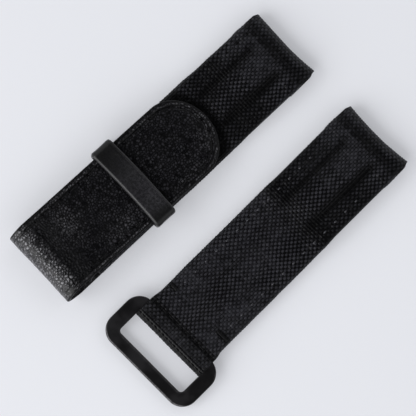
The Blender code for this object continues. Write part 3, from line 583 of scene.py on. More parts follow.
def wovenBody(name, track, body, parts):
    # Section carried along the track: flat columns out to the shoulders, then sides that turn down through a
    # quarter round where flange is 1. parts lists (start, end, whether every row is wanted) along s.
    step, loose = cloth["weftPitch"] / cloth["samples"], cloth["looseRows"]
    rows = [np.arange(round(a / step), round(b / step), 1 if fine else loose) for a, b, fine in parts]
    s = np.concatenate(rows + [[track.s[-1] / step]]) * step
    s = np.minimum(s, track.s[-1])[:, None]
    x, z = track.x(s), track.z(s)
    shoulder, edge = layers["shoulder"], layers["edge"]
    pitch = cloth["warpPitch"] / cloth["samples"]
    count = int(shoulder / pitch)
    flatT = np.arange(-count, count + 1) * pitch
    flange, drop = body["flange"](s, x), np.maximum(body["drop"](x, z), edge + 0.05)
    quarter = edge * math.pi / 2
    reach = quarter + drop - edge
    sideShare = np.linspace(0, 1, body["sideColumns"] + 1)[None, 1:]
    q = sideShare * reach
    angle = np.minimum(q / edge, math.pi / 2)
    turnedY = shoulder + edge * np.sin(angle)
    turnedH = -edge * (1 - np.cos(angle)) - np.maximum(q - quarter, 0)
    plainY = shoulder + edge * sideShare
    sideY = plainY + flange * (turnedY - plainY)
    sideH = flange * turnedH
    outY, outH = flange * np.sin(angle), 1 - flange + flange * np.cos(angle)
    size = np.hypot(outY, outH)
    outY, outH = outY / size, outH / size
    sideT = shoulder + sideShare * (edge + flange * (reach - edge))
    wide = np.broadcast_to(flatT, (len(s), len(flatT)))
    none = np.zeros_like(wide)

    def across(sign, side, middle):
        # Columns from the negative side over the flat part to the positive side
        return np.concatenate([sign * side[:, ::-1], middle, side], axis=1)

    t, y, h = across(-1, sideT, wide), across(-1, sideY, wide), across(1, sideH, none)
    ny, nh = across(-1, outY, none), across(1, outH, none + 1)
    onTop, allS, allX = body["top"](s), s + 0 * t, x + 0 * y
    lift = quilting(x, y, body) * onTop
    lift = lift - body["pucker"] * holeDepth(allX, y, body["holes"], 0.42) * onTop
    lift = lift + 0.10 * lumps(allS, t, 11.0, body["seed"]) + 0.04 * lumps(allS, t, 3.5, body["seed"] + 1)
    bulge, crown, warp = weave(allS, t, body["bent"](s))
    # the body's painted shade darkens the crown mark on top
    crown = crown * (1 - body["dark"](allX, y) * onTop)
    outer = track.at(s, y + ny * (lift + bulge), h + nh * (lift + bulge))
    keep = np.unique(np.concatenate([np.arange(0, y.shape[1], cloth["innerStep"]), [y.shape[1] - 1]]))
    under = lift - layers["canvas"]
    inner = track.at(s, (y + ny * under)[:, keep], (h + nh * under)[:, keep])
    outer, inner = body["finishShape"](outer), body["finishShape"](inner)
    points = closed(outer, inner)
    flat = np.stack([allS, t], axis=-1) / (cloth["weftPitch"], cloth["warpPitch"])
    flat = closed(flat, flat[:, keep])
    bare = np.zeros((len(s), len(keep)))
    marks = dict(crown=closed(crown, bare + 0.5), warp=closed(warp, bare))
    quads, caps = shellFaces(*points.shape[:2])
    piece = addPiece(name, body["place"](points), quads, caps, finishes["nylon"], flat, marks)
    print(name, len(piece.data.polygons) * 2, "triangles")
    return piece


def baseHeight(x):
    # Underside of the long piece: lifted over the keeper, down on the table past the flap
    return layers["lift"] * (1 - smooth(x, peelX + fold["dropMargin"], flapTipX))


def baseLean(x):
    return -fold["skew"] * np.clip((lugX - layers["wrap"] - x) / (lugX - layers["wrap"] - foldX), 0, 1)


def flapLean(x):
    return fold["skew"] * (1 - np.clip((x - foldX) / (flapTipX - foldX), 0, 1))


def longTop(x):
    grown = smooth(x, flapTipX - 4, flapTipX + 20)
    return baseHeight(x) + layers["thin"] + (layers["lug"] - layers["thin"]) * grown


def stay(points):
    return points


def lugEndShape(lug, dip, flare):
    # The rolled end is a little hollow in the middle and the corner at the negative side stands further out
    def shape(points):
        y = points[..., 1] / layers["halfWidth"]
        near = smooth(points[..., 0], lug - 9, lug - 1)
        points = points.copy()
        points[..., 0] += near * (dip * (y * y - 0.75) + flare * np.maximum(-y, 0) ** 2)
        points[..., 1] *= 1 - 0.018 * near - 0.045 * smooth(points[..., 0], lug - 1.8, lug)
        return points
    return shape


def evenHoles(start, end, pitch, row, shift=0):
    # Needle holes from start to end along x at one sideways place
    count = max(1, round(abs(end - start) / pitch))
    return np.stack([np.linspace(start, end, count + 1) + shift, np.full(count + 1, row)], axis=1)


lugRadius = layers["lug"] / 2


def lugTurn(lug, end, top):
    # Under the lug end, round it, and back on top as far as end
    centre = lug - lugRadius
    return [straightLine(lug - layers["wrap"], centre, np.zeros_like),
            curveLine(centre, lugRadius, lugRadius, -90, 90), straightLine(centre, end, top)]


longSew = dict(rows=(9.4, -8.9), pitch=4.06, start=lugX - 6.5, end=flapTipX + 1.0)
longHoles = [evenHoles(longSew["start"], longSew["end"], longSew["pitch"], row) for row in longSew["rows"]]
longLine = lugTurn(lugX, canvasEndX, longTop)
longTrack = Track(longLine, 1, baseLean(joined(longLine)[:, 0]))
longTopS = longTrack.s[len(longLine[0]) + len(longLine[1]) - 2]


def longFlange(s, x):
    return (s > longTopS) * (1 - smooth(x, lugX - layers["wrap"], lugX - lugRadius))


def longPaintedShade(x, y):
    # Painted shade in the grooves and the needle holes, and a painted shadow on the canvas close round the
    # flap's tip
    cover = fold["cover"]
    beyond = (np.hypot((x - flapTipX + cover) / cover, y / layers["halfWidth"]) - 1) * cover
    holes = 0.9 * holeDepth(x, y, longBody["holes"], 0.45)
    return np.maximum(np.maximum(quiltPaintedShade(x, y, longBody), holes), 0.62 * (1 - smooth(beyond, 0.6, 3.6)))


longBody = dict(
    lug=lugX, quiltStart=flapTipX + 1, grooves=(5.7, -4.9), grooveDepth=0.20, rows=longSew["rows"],
    rise=(flapTipX + 8, 7.0, 0.24), lobesEnd=(21.0, 13.0), lobeDark=0.28,
    holes=np.concatenate(longHoles), pucker=0.07, sideColumns=20, seed=21,
    flange=longFlange,
    drop=lambda x, z: z - baseHeight(x) - layers["leather"] - layers["gap"],
    top=lambda s: smooth(s, longTopS - 1.5, longTopS + 1.5),
    finishShape=lugEndShape(lugX, 0.10, 0.75), place=stay, dark=longPaintedShade,
    bent=lambda s: -0.45 * (s > longTopS) * bell(longTrack.x(s) - flapTipX - 8, 9.0))
visibleEnd = longTopS + (lugX - lugRadius - flapTipX) + 3
longCanvas = wovenBody("longCanvas", longTrack, longBody,
                       [(0, 5, False), (5, visibleEnd, True), (visibleEnd, longTrack.s[-1] - 0.3, False)])
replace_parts(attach(longCanvas, "long_strap"), "long_canvas")

# Short canvas, in the short piece's own frame: x along it, lug end at +48, ring at -48

shortSize = dict(length=96.0, padStart=40.0, padRise=14.0, crease=17.1, creaseDepth=0.12, creaseHalf=1.6,
                 toBulge=4.0, loop=4.2, loopEnd=10.9, returnEnd=23.7, core=18.9, pin=14.1, spread=0.036,
                 swell=0.5, slits=(23.3, 24.3))
swivel = jointOf["ring_swivel"]
shortLug, ringFar = shortSize["length"] / 2, -shortSize["length"] / 2
creaseX, pinX = ringFar + shortSize["crease"], ringFar + shortSize["pin"]
loopEndX, returnX = ringFar + shortSize["loopEnd"], ringFar + shortSize["returnEnd"]
swivelAxis = Vector(swivel["axis"])
shortTurn = math.atan2(-swivelAxis.x, swivelAxis.y)
alongShort = np.array([math.cos(shortTurn), math.sin(shortTurn), 0])
acrossShort = np.array([-math.sin(shortTurn), math.cos(shortTurn), 0])
shortCentre = np.array(swivel["pos_m"]) / mm * (1, 1, 0) - pinX * alongShort


def placeShort(points):
    x, y, z = points[..., :1], points[..., 1:2], points[..., 2:]
    return shortCentre + x * alongShort + y * acrossShort + z * (0, 0, 1)


def shortTop(x):
    start = shortLug - shortSize["padStart"]
    thin, low = layers["shortThin"], layers["shortThin"] + shortSize["swell"] - shortSize["creaseDepth"]
    height = thin + (layers["lug"] - thin) * smooth(x, start, start + shortSize["padRise"])
    height = height + shortSize["swell"] * (1 - smooth(x, creaseX, creaseX + 16))
    near = np.clip(np.abs(x - creaseX) / shortSize["creaseHalf"], 0, 1)
    dip = shortSize["creaseDepth"] * (0.5 + 0.5 * np.cos(np.pi * near))
    bulge = low + (shortSize["loop"] - low) * smooth(creaseX - x, 0, shortSize["toBulge"])
    return np.where(x >= creaseX, height - dip, bulge)


shortSew = dict(rows=(9.1, -8.9), shifts=(0.85, 1.4), pitch=4.06, start=shortLug - 17.5, end=ringFar + 24.2)
shortHoles = [evenHoles(shortSew["start"], shortSew["end"], shortSew["pitch"], row, shift)
              for row, shift in zip(shortSew["rows"], shortSew["shifts"])]
loopRadius = shortSize["loop"] / 2
bulgeX = creaseX - shortSize["toBulge"]
turnX = loopEndX + loopRadius
shortLine = lugTurn(shortLug, bulgeX, shortTop) + [
    straightLine(bulgeX, turnX, lambda x: np.full_like(x, shortSize["loop"])),
    curveLine(turnX, loopRadius, loopRadius, 90, 270),
    straightLine(turnX, returnX, np.zeros_like)]
shortTrack = Track(shortLine)
shortTopS = shortTrack.s[len(shortLine[0]) + len(shortLine[1]) - 2]
shortLoopS = shortTopS + (shortLug - lugRadius - creaseX)


def shortFlange(s, x):
    farX = creaseX + shortSize["creaseHalf"]
    onTop = (s > shortTopS) & (s < shortLoopS)
    atLug = smooth(x, shortLug - layers["wrap"], shortLug - lugRadius)
    return onTop * (1 - atLug) * smooth(x, farX, farX + 1.6)


def shortOnTop(s):
    return smooth(s, shortTopS - 1.5, shortTopS + 1.5) * (1 - smooth(s, shortLoopS + 1, shortLoopS + 4))


def shortBent(s):
    # Bent outwards where the canvas turns down at the ring, and a little hollow at the foot of the padding
    hollow = 0.45 * bell(shortTrack.x(s) - shortLug + 33, 7.0) * (s > shortTopS)
    return bell(s - shortLoopS - 5.6, 1.6) - hollow


def shortPaintedShade(x, y):
    # Painted shade in the grooves, in the two slits of each tack and in the crease by the ring
    first, second = (ringFar + place for place in shortSize["slits"])
    slits = np.maximum(bell(x - first, 0.3), bell(x - second, 0.3))
    slits = slits * np.maximum(smooth(y, 9.0, 9.5), smooth(-y, 6.8, 7.4))
    return np.maximum(np.maximum(quiltPaintedShade(x, y, shortBody), 0.9 * slits), 0.7 * bell(x - creaseX, 1.1))


def shortEnds(points):
    # The lug end as on the long piece; at the other end the canvas spreads until it meets the ring's arms
    points = lugEndShape(shortLug, 0.50, 0.35)(points)
    points[..., 1] *= 1 + shortSize["spread"] * smooth(creaseX - points[..., 0], -4.0, 0.0)
    return points


shortBody = dict(
    lug=shortLug, quiltStart=shortLug - 34, grooves=(5.7, -4.9), grooveDepth=0.22, rows=shortSew["rows"],
    rise=(shortLug - 33.0, 5.0, 0.30), lobesEnd=(16.0, 9.5), lobeDark=0.38,
    holes=np.concatenate(shortHoles), pucker=0.15, sideColumns=18, seed=31,
    flange=shortFlange, drop=lambda x, z: z - layers["leather"] - layers["gap"], top=shortOnTop,
    bent=shortBent, finishShape=shortEnds, place=placeShort, dark=shortPaintedShade)
shortCanvas = wovenBody("shortCanvas", shortTrack, shortBody,
                        [(0, 5, False), (5, shortLoopS + 10, True),
                         (shortLoopS + 10, shortTrack.s[-1] - 0.3, False)])
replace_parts(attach(shortCanvas, "short_strap"), "short_canvas")

# Leather


def leatherStrip(name, track, s, half, body, material, tip=None, place=stay):
    # Rows along s, columns by distance d from the edge. The rim is a quarter round on the grain side and a
    # small one on the flesh side; past tip = (s, length) the half width follows an ellipse and d is measured
    # to it.
    wide = body["width"] / 2
    rim = np.array([0, 0.02, 0.07, 0.15, 0.27, 0.42, 0.6, 0.8])
    inner = np.arange(1.0, wide, body["step"])
    d = np.concatenate([rim, inner])
    share = np.concatenate([d / wide - 1, [0], (1 - d / wide)[::-1]])[None, :]
    s, half = s[:, None], half[:, None]
    y = half * share
    d = half - np.abs(y)
    if tip:
        past = np.clip((s - tip[0]) / tip[1], 0, 1)
        ring = np.maximum(np.hypot(past, y / wide), 1e-6)
        slope = np.hypot(past / tip[1], y / wide ** 2) / ring
        d = np.where(past > 0, np.maximum(1 - ring, 0) / np.maximum(slope, 1e-6), d)
    thick, soft, tight = layers["leather"], body["rim"], 0.2
    allS, columns, lastRim = s + 0 * y, share.shape[1], share.shape[1] - len(rim)
    top = thick / 2 + roundedEdge(d, soft) + body["relief"](allS, y, d) * smooth(d, 0, 0.3)
    bottom = -thick / 2 - roundedEdge(d, tight)
    keep = np.concatenate([np.arange(0, len(rim), 2), np.arange(len(rim), lastRim, 6),
                           np.arange(lastRim, columns)[::-1][::2][::-1]])
    points = closed(track.at(s, y, top), track.at(s, y[:, keep], bottom[:, keep]))
    flat = np.stack([allS, y], axis=-1)
    flat = closed(flat, flat[:, keep])
    marks = dict(rim=1 - smooth(d, 0.28, 0.5), grain=body["grain"](allS, y, d), lightened=body["lightened"](allS, y, d),
                 hole=body["hole"](allS, y))
    marks = {mark: closed(values, values[:, keep]) for mark, values in marks.items()}
    quads, caps = shellFaces(*points.shape[:2])
    piece = addPiece(name, place(points), quads, caps, material, flat, marks)
    print(name, len(piece.data.polygons) * 2, "triangles")
    return piece


def flapMiddle(x):
    # Middle of the flap's leather: over the base and both tapes, leaning down at the tip
    over = layers["thin"] + layers["loop"] + layers["hook"] + 3 * layers["gap"] + layers["leather"] / 2
    return baseHeight(x) + over - fold["tipDrop"] * smooth(x, flapTipX - fold["tipRun"], flapTipX)


seamX = (keeperLow[0] + keeperHigh[0]) / 2          # the lining's joint, hidden under the keeper
foldCentreX = foldX + fold["radius"] + layers["leather"] / 2
foldCentreZ = fold["radius"] + layers["leather"] / 2
foldFlatX = foldCentreX + fold["blend"]
lowZ, highZ = layers["lift"] + layers["leather"] / 2, flapMiddle(foldFlatX)
bottomZ, topZ = foldCentreZ - fold["radius"], foldCentreZ + fold["radius"]


def linerMiddle(x):
    return baseHeight(x) + layers["leather"] / 2


def lowerTurn(x):
    return bottomZ + (lowZ - bottomZ) * smooth(x, foldCentreX, foldFlatX)


def upperTurn(x):
    return topZ + (highZ - topZ) * smooth(x, foldCentreX, foldFlatX)


tailLine = [straightLine(seamX, foldFlatX, linerMiddle),
            straightLine(foldFlatX, foldCentreX, lowerTurn),
            curveLine(foldCentreX, foldCentreZ, fold["radius"], 270, 90),
            straightLine(foldCentreX, foldFlatX, upperTurn),
            straightLine(foldFlatX, flapTipX - fold["tipShort"], flapMiddle)]
tailX = joined(tailLine)[:, 0]
foldStart = len(tailLine[0]) + len(tailLine[1]) - 2
foldEnd = foldStart + len(tailLine[2]) - 1
turned = np.clip((np.arange(len(tailX)) - foldStart) / (foldEnd - foldStart), 0, 1)
tailTrack = Track(tailLine, -1, baseLean(tailX) * (1 - turned) + flapLean(tailX) * turned)
foldS = (tailTrack.s[foldStart] + tailTrack.s[foldEnd]) / 2
foldTopS = tailTrack.s[foldEnd]
tipLength = 10.4
tipS = tailTrack.s[-1] - tipLength
flapSew = dict(inset=2.2, pitch=3.4, start=foldTopS - 3.2)


def flapHoles():
    # Down one side, round the tip's ellipse and back up the other side, evenly along the row
    inset, side, count = flapSew["inset"], layers["halfWidth"] - flapSew["inset"], 200
    straight = np.linspace(flapSew["start"], tipS, count)
    angle = np.linspace(-np.pi / 2, np.pi / 2, count)[1:-1]
    s = np.concatenate([straight, tipS + (tipLength - inset) * np.cos(angle), straight[::-1]])
    t = np.concatenate([np.full(count, -side), side * np.sin(angle), np.full(count, side)])
    run = distances(np.stack([s, t], axis=1))
    even = np.linspace(0, run[-1], round(run[-1] / flapSew["pitch"]) + 1)
    return np.stack([np.interp(even, run, s), np.interp(even, run, t)], axis=1)


flapNeedle = flapHoles()
leatherGrain = dict(fine=0.74, coarse=0.78, fineHeight=0.15, coarseHeight=0.27, fineCrack=0.8,
                    coarseCrack=1.05)


def foldedness(s, t):
    # 1 on the fold, where the leather is stretched and its pebbles stand out, less on the flat of the flap
    patches = 0.5 + 0.5 * lumps(s, t, 5.0, 12)
    beyond = 0.8 * patches * bell(s - foldS - 15, 9) + 0.15 * patches
    return np.clip(bell(s - foldS - 1.5, 7.0) + beyond, 0, 1)


def grainOf(s, t):
    # How coarse the grain is, and both sizes of pebble, on slightly bent axes
    warpS, warpT = s + 0.35 * lumps(s, t, 1.6, 13), t + 0.35 * lumps(s, t, 1.6, 14)
    coarse = pebbles(warpS, warpT, leatherGrain["coarse"], 15, leatherGrain["coarseCrack"])
    fine = pebbles(warpS, warpT, leatherGrain["fine"], 16, leatherGrain["fineCrack"])
    return foldedness(s, t), coarse, fine


def atTip(s):
    return smooth(tailTrack.x(s), flapTipX - 8, flapTipX - 2)


def fromCrease(s, t, d):
    # Distance from the creased line round the edge. On the right side the line runs further in.
    return d - 1.28 - 0.40 * smooth(t, 3, 9) * (1 - atTip(s))


def pebbleShare(s, t, d):
    # How high each point of the grain stands, from 0 to 1, for the colour: painted light on the pebble tops
    # and painted shade in the cracks, more even with a painted sheen where the fold stretches it, and painted
    # shade along the creased line
    folded, coarse, fine = grainOf(s, t)
    stretched = bell(s - foldS, 3.2)
    pebble = (coarse * folded + fine * (1 - folded)) * (1 - 0.45 * stretched) + 0.24 * stretched
    return pebble * (1 - 0.9 * bell(fromCrease(s, t, d), 0.20))


def holeShare(s, t):
    return holeDepth(s, t, flapNeedle, 0.48)


# lighter places on the flap: x, y, reach along x and y, strength
lighterSpots = ((-62.9, 3.4, 3.6, 4.6, 0.28), (-51.4, -7.4, 5.5, 2.6, 0.13), (-17.4, -4.9, 3.0, 3.6, 0.15),
               (-25.7, -9.4, 7.0, 1.1, 0.12), (-60.0, 11.4, 6.0, 0.5, 0.20))


def lightenedShare(s, t, d):
    # Painted highlights all over the fold and as lines beside the crease round the edge; lighter spots in
    # places on the flap
    x = tailTrack.x(s)
    share = (1 - smooth(x, foldX + 4.5, foldX + 6.8)) * smooth(s, foldS - 4.5, foldS - 0.5)
    for spotX, spotY, alongX, alongY, strength in lighterSpots:
        spot = np.exp(-((x - spotX) / alongX) ** 2 - ((t - spotY) / alongY) ** 2)
        share = np.maximum(share, strength * spot)
    crease = fromCrease(s, t, d)
    lines = np.maximum(bell(crease + 0.48, 0.26), 0.8 * atTip(s) * bell(crease - 0.50, 0.22))
    return np.maximum(share, (0.28 + 0.18 * (1 - smooth(x, -46, -36))) * lines)


def flapRelief(s, t, d):
    # Two sizes of pebble, slow waves, a creased line near the edge, and the sewn row with its holes
    folded, coarse, fine = grainOf(s, t)
    flatArea = smooth(d, 1.2, 1.8)
    grain = leatherGrain["coarseHeight"] * folded * (coarse - 0.6) * (1 - 0.6 * bell(s - foldS, 1.7))
    grain = grain + leatherGrain["fineHeight"] * (1 - folded) * (fine - 0.6)
    waves = 0.10 * lumps(s, t, 9.0, 17) + 0.05 * lumps(s, t, 4.0, 18)
    onFlap = smooth(s, foldTopS - 6, foldTopS - 3)
    sewn = 0.07 * bell(d - flapSew["inset"], 0.50) * onFlap
    sewn = sewn + 0.04 * holeDepth(s, t, flapNeedle, 0.40)
    crease = 0.09 * bell(fromCrease(s, t, d), 0.16)
    bead = 0.045 * bell(fromCrease(s, t, d) + 0.45, 0.24)
    return grain * (0.25 + 0.75 * flatArea) + waves * flatArea - sewn - crease + bead


underFlap = tailTrack.s[foldStart]
tailRows = np.concatenate([np.arange(0, underFlap, 0.5), np.arange(underFlap, tipS, 0.2)])
tipTurn = np.linspace(0, math.radians(89.3), 56)
tailS = np.concatenate([tailRows, tipS + tipLength * np.sin(tipTurn)])
tailHalf = layers["halfWidth"] * np.concatenate([np.ones(len(tailRows)), np.cos(tipTurn)])
leatherBody = dict(width=2 * layers["halfWidth"], step=0.2, rim=0.4, relief=flapRelief, grain=pebbleShare,
                   lightened=lightenedShare, hole=holeShare)
tailLeather = leatherStrip("tailLeather", tailTrack, tailS, tailHalf, leatherBody, finishes["grained"],
                           tip=(tipS, tipLength))


def peels(piece):
    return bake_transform(piece)


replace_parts(peels(tailLeather), "tail_leather", "flap_end_leather")


def plainRelief(s, t, d):
    # Small pebbles, slow waves and a creased line near the edge
    return 0.03 * pebbles(s, t, 0.9, 41) + 0.05 * lumps(s, t, 8.0, 42) - 0.07 * bell(d - 1.1, 0.2)


def lining(name, line, lean, rows, place):
    # Plain leather on the underside, along one straight line
    track, half = Track([line], -1, lean), plainGrain["width"] / 2
    return leatherStrip(name, track, np.linspace(0, track.s[-1], rows), np.full(rows, half), plainGrain,
                        finishes["grained"], place=place)


plainGrain = dict(width=24.0, step=0.5, rim=0.3, relief=plainRelief, grain=lambda s, t, d: 0.5 + 0 * s,
                  lightened=lambda s, t, d: 0 * s, hole=lambda s, t: 0 * s)
longLiningLine = straightLine(lugX - layers["wrap"] - layers["gap"], seamX, linerMiddle)
liningLeather = lining("liningLeather", longLiningLine, baseLean(longLiningLine[:, 0]), 120, stay)
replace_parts(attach(liningLeather, "long_strap"), "tail_leather")
shortLiningLine = straightLine(shortLug - layers["wrap"] - layers["gap"], returnX + layers["gap"],
                               lambda x: np.full_like(x, layers["leather"] / 2))
shortLining = lining("shortLining", shortLiningLine, 0, 130, placeShort)
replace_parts(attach(shortLining, "short_strap"), "short_lining")
print("leather made")

# Threads


def stitches(name, track, holes, surface, body, place=stay):
    # One short tube from each hole to the next. Along it, k from 0 to 1, the height over the surface is
    # rise * bow - sink * (1 - bow), where bow(2k - 1) is 1 in the middle, and the section is a circle.
    first, last = holes[:-1], holes[1:]
    k = np.linspace(0, 1, body["steps"])[None, :]
    bow = body["bow"](2 * k - 1)
    s = first[:, :1] + (last[:, :1] - first[:, :1]) * k
    t = first[:, 1:] + (last[:, 1:] - first[:, 1:]) * k
    along = (last - first) / np.linalg.norm(last - first, axis=1, keepdims=True)
    h = surface(s, t) + body["rise"] * bow - body["sink"] * (1 - bow)
    radius = body["thread"] / 2 * (0.72 + 0.28 * bow)
    turn = np.linspace(0, math.tau, body["ring"], endpoint=False)
    side, up = radius[..., None] * np.cos(turn), radius[..., None] * np.sin(turn)
    alongS, alongT = along[:, 0, None, None], along[:, 1, None, None]
    points = track.at(s[..., None] - alongT * side, t[..., None] + alongS * side, h[..., None] + up)
    length = np.linalg.norm(last - first, axis=1)[:, None, None] * k[..., None]
    flat = np.stack(np.broadcast_arrays(length, turn / math.tau), axis=-1)
    quads, caps = tubeFaces(len(first), body["steps"], body["ring"])
    marks = dict(brightened=np.full(points.shape[:-1], body["brightened"]))
    return addPiece(name, place(points), quads, caps, finishes["thread"], flat, marks)


def flatBow(k):
    return 1 - k ** 4


flapThread = dict(thread=0.30, rise=0.03, sink=0.30, bow=flatBow, brightened=0.0, steps=11, ring=8)
flapStitch = stitches("flapStitch", tailTrack, flapNeedle,
                      lambda s, t: layers["leather"] / 2 - 0.10 + 0 * s, flapThread)
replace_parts(peels(flapStitch), "flap_stitch_left", "flap_stitch_right", "flap_end_stitch")

# these stitches carry painted highlights; on the long piece they are turned off
canvasThread = dict(thread=0.46, rise=0.08, sink=0.42, bow=lambda k: bell(k, 0.22), brightened=1.0, steps=21,
                    ring=8)
crossThread = dict(thread=0.30, rise=-0.10, sink=0.42, bow=flatBow, brightened=0.0, steps=9, ring=7)


def canvasSurface(track, body):
    def surface(s, t):
        return quilting(track.x(s), t, body) + 0.02
    return surface


def onTrack(track, topS, holes):
    # Needle holes given by x, as distances along the part of the track that lies on top
    upper = track.s >= topS
    x, s = track.line[upper, 0], track.s[upper]
    order = np.argsort(x)
    return np.stack([np.interp(holes[:, 0], x[order], s[order]), holes[:, 1]], axis=1)


for side, holes in zip(("Left", "Right"), longHoles):
    thread = stitches("longStitch" + side, longTrack, onTrack(longTrack, longTopS, holes),
                      canvasSurface(longTrack, longBody), dict(canvasThread, brightened=0.0, rise=-0.02))
    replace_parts(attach(thread, "long_strap"), "long_stitch_" + side.lower())
shortTopLine = Track([shortLine[2]])
for side, holes in zip(("Left", "Right"), shortHoles):
    thread = stitches("shortStitch" + side, shortTopLine, onTrack(shortTopLine, 0, holes),
                      canvasSurface(shortTopLine, shortBody), canvasThread, placeShort)
    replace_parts(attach(thread, "short_strap"), "short_stitch_" + side.lower())

crossHoles = evenHoles(-8.9, 9.1, 3.0, 0)[:, ::-1]
crossHoles[:, 0] = np.interp(-creaseX, -shortTopLine.line[:, 0], shortTopLine.s)
crossStitch = stitches("ringCrossStitch", shortTopLine, crossHoles, lambda s, t: 0.02 + 0 * s, crossThread,
                       placeShort)
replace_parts(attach(crossStitch, "short_strap"), "ring_cross_stitch")

tackThread = dict(thread=0.24, rise=0.02, sink=0.20, bow=flatBow, brightened=0.0, steps=7, ring=7)
tack = dict(offset=23.8, width=0.95, outer=11.2, passes=18)
for side, sign, inner in (("left", 1, 9.2), ("right", -1, 7.2)):
    number = np.arange(tack["passes"] + 1)
    zigzag = np.stack([ringFar + tack["offset"] - tack["width"] * (number % 2 - 0.5),
                       sign * np.linspace(inner, tack["outer"], tack["passes"] + 1)], axis=1)
    thread = stitches("barTack" + side.capitalize(), shortTopLine, onTrack(shortTopLine, 0, zigzag),
                      lambda s, t: 0.04 + 0 * s, tackThread, placeShort)
    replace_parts(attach(thread, "short_strap"), "bar_tack_" + side)
print("threads made")

# Keeper


def roundedLoop(width, height, corner, count):
    # Evenly spaced points round a rounded rectangle, with the outward direction at each
    side = []
    for turn, (a, b) in enumerate(((1, 1), (-1, 1), (-1, -1), (1, -1))):
        angle = np.radians(90 * turn + np.linspace(0, 90, 40))
        side.append(np.stack([a * (width / 2 - corner) + corner * np.cos(angle),
                              b * (height / 2 - corner) + corner * np.sin(angle)], axis=1))
    line = np.concatenate(side + [side[0][:1]])
    run = distances(line)
    even = np.linspace(0, run[-1], count, endpoint=False)
    loop = np.stack([np.interp(even, run, line[:, k]) for k in (0, 1)], axis=1)
    return loop, sideways(np.roll(loop, -1, axis=0) - np.roll(loop, 1, axis=0)), even


keeperBody = dict(wall=1.2, corner=1.9, rim=0.62, foldSideRim=0.95, sideRim=0.9, bow=0.35, skew=-0.006,
                  shift=-0.12, dish=0.16, count=300)


def makeKeeper():
    # A leather band: a rounded bar, slightly dished outside, carried round a rounded rectangle
    low, high = keeperLow, keeperHigh
    width, height = high[1] - low[1], high[2] - low[2]
    loop, out, run = roundedLoop(width, height, keeperBody["corner"], keeperBody["count"])
    half, wall = (high[0] - low[0]) / 2, keeperBody["wall"]
    rim, farRim = keeperBody["rim"], keeperBody["foldSideRim"]
    corner = np.radians(np.linspace(90, 0, 7))
    middle = np.linspace(-half + farRim, half - rim, 26)[1:-1]
    outerX = np.concatenate([-half + farRim - farRim * np.cos(corner[::-1]), middle,
                             half - rim + rim * np.cos(corner)])
    outerH = roundedEdge(outerX + half, farRim) + roundedEdge(half - outerX, rim)
    crease = 0.07 * bell(half - outerX - 0.85, 0.14)
    outerH = outerH - keeperBody["dish"] * (1 - (outerX / half) ** 2) - crease
    innerX = np.array([half, half - 0.15, half * 0.4, -half * 0.4, -half + 0.15, -half])
    innerH = np.array([0.15, 0, 0, 0, 0, 0.15]) - wall
    x = np.concatenate([outerX, innerX])[None, :]
    h = np.concatenate([outerH, innerH])[None, :]
    around, along = run[:, None] + 0 * x, x + 0 * run[:, None]
    grain = 0.02 * pebbles(around, along, 0.8, 51) * (h > -wall / 2)
    uneven = 0.06 * lumps(around, along, 6.0, 52) * (h > -wall / 2)
    h = h + grain + uneven
    # at the two sides of the strap the rim that faces the tip is rounder
    rounder = roundedEdge(half - outerX, keeperBody["sideRim"]) - roundedEdge(half - outerX, rim)
    rounder = np.concatenate([rounder, 0 * innerX])
    h = h + out[:, :1] ** 2 * rounder
    middleZ = (low[2] + high[2]) / 2
    y = loop[:, :1] + out[:, :1] * h
    z = middleZ + loop[:, 1:] + out[:, 1:] * h
    bow = keeperBody["bow"] * (1 - (y / (width / 2)) ** 2) - keeperBody["bow"] * 0.5 + keeperBody["skew"] * y
    points = np.stack([(low[0] + high[0]) / 2 + keeperBody["shift"] + x + bow, y, z], axis=-1)
    # the rounded edges, which the material gives a painted highlight
    edge = 1 - smooth(half - np.abs(outerX), 0.25, 0.45)
    edge = np.broadcast_to(np.concatenate([edge, np.full(len(innerX), 0.6)]), h.shape)
    quads, caps = shellFaces(*h.shape, around=True)
    # painted sheen: the band lighter on one side, and a little glossier there
    glossAndPaintedSheen = 0.55 * smooth(-y, -10.5, -1.5) + 0.35 * bell(y + 6, 5.0) * (0.4 + 0.6 * smooth(x, -2.0, 2.0))
    glossAndPaintedSheen = glossAndPaintedSheen * smooth(y, -12.4, -8.8) * (z > middleZ)
    marks = dict(rim=edge, glossAndPaintedSheen=glossAndPaintedSheen)
    return addPiece("keeperBand", points, quads, caps, finishes["smooth"], marks=marks)


keeperBand = makeKeeper()
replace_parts(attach(keeperBand, "keeper"), "keeper_band")

# Ring

ringSize = dict(length=16.6, width=33.9, thick=2.2, far=3.85, opening=25.2, strapSide=2.5, corner=5.1,
                inner=1.1, chamfer=0.32, tip=0.25, pin=2.1, intoArm=0.7)


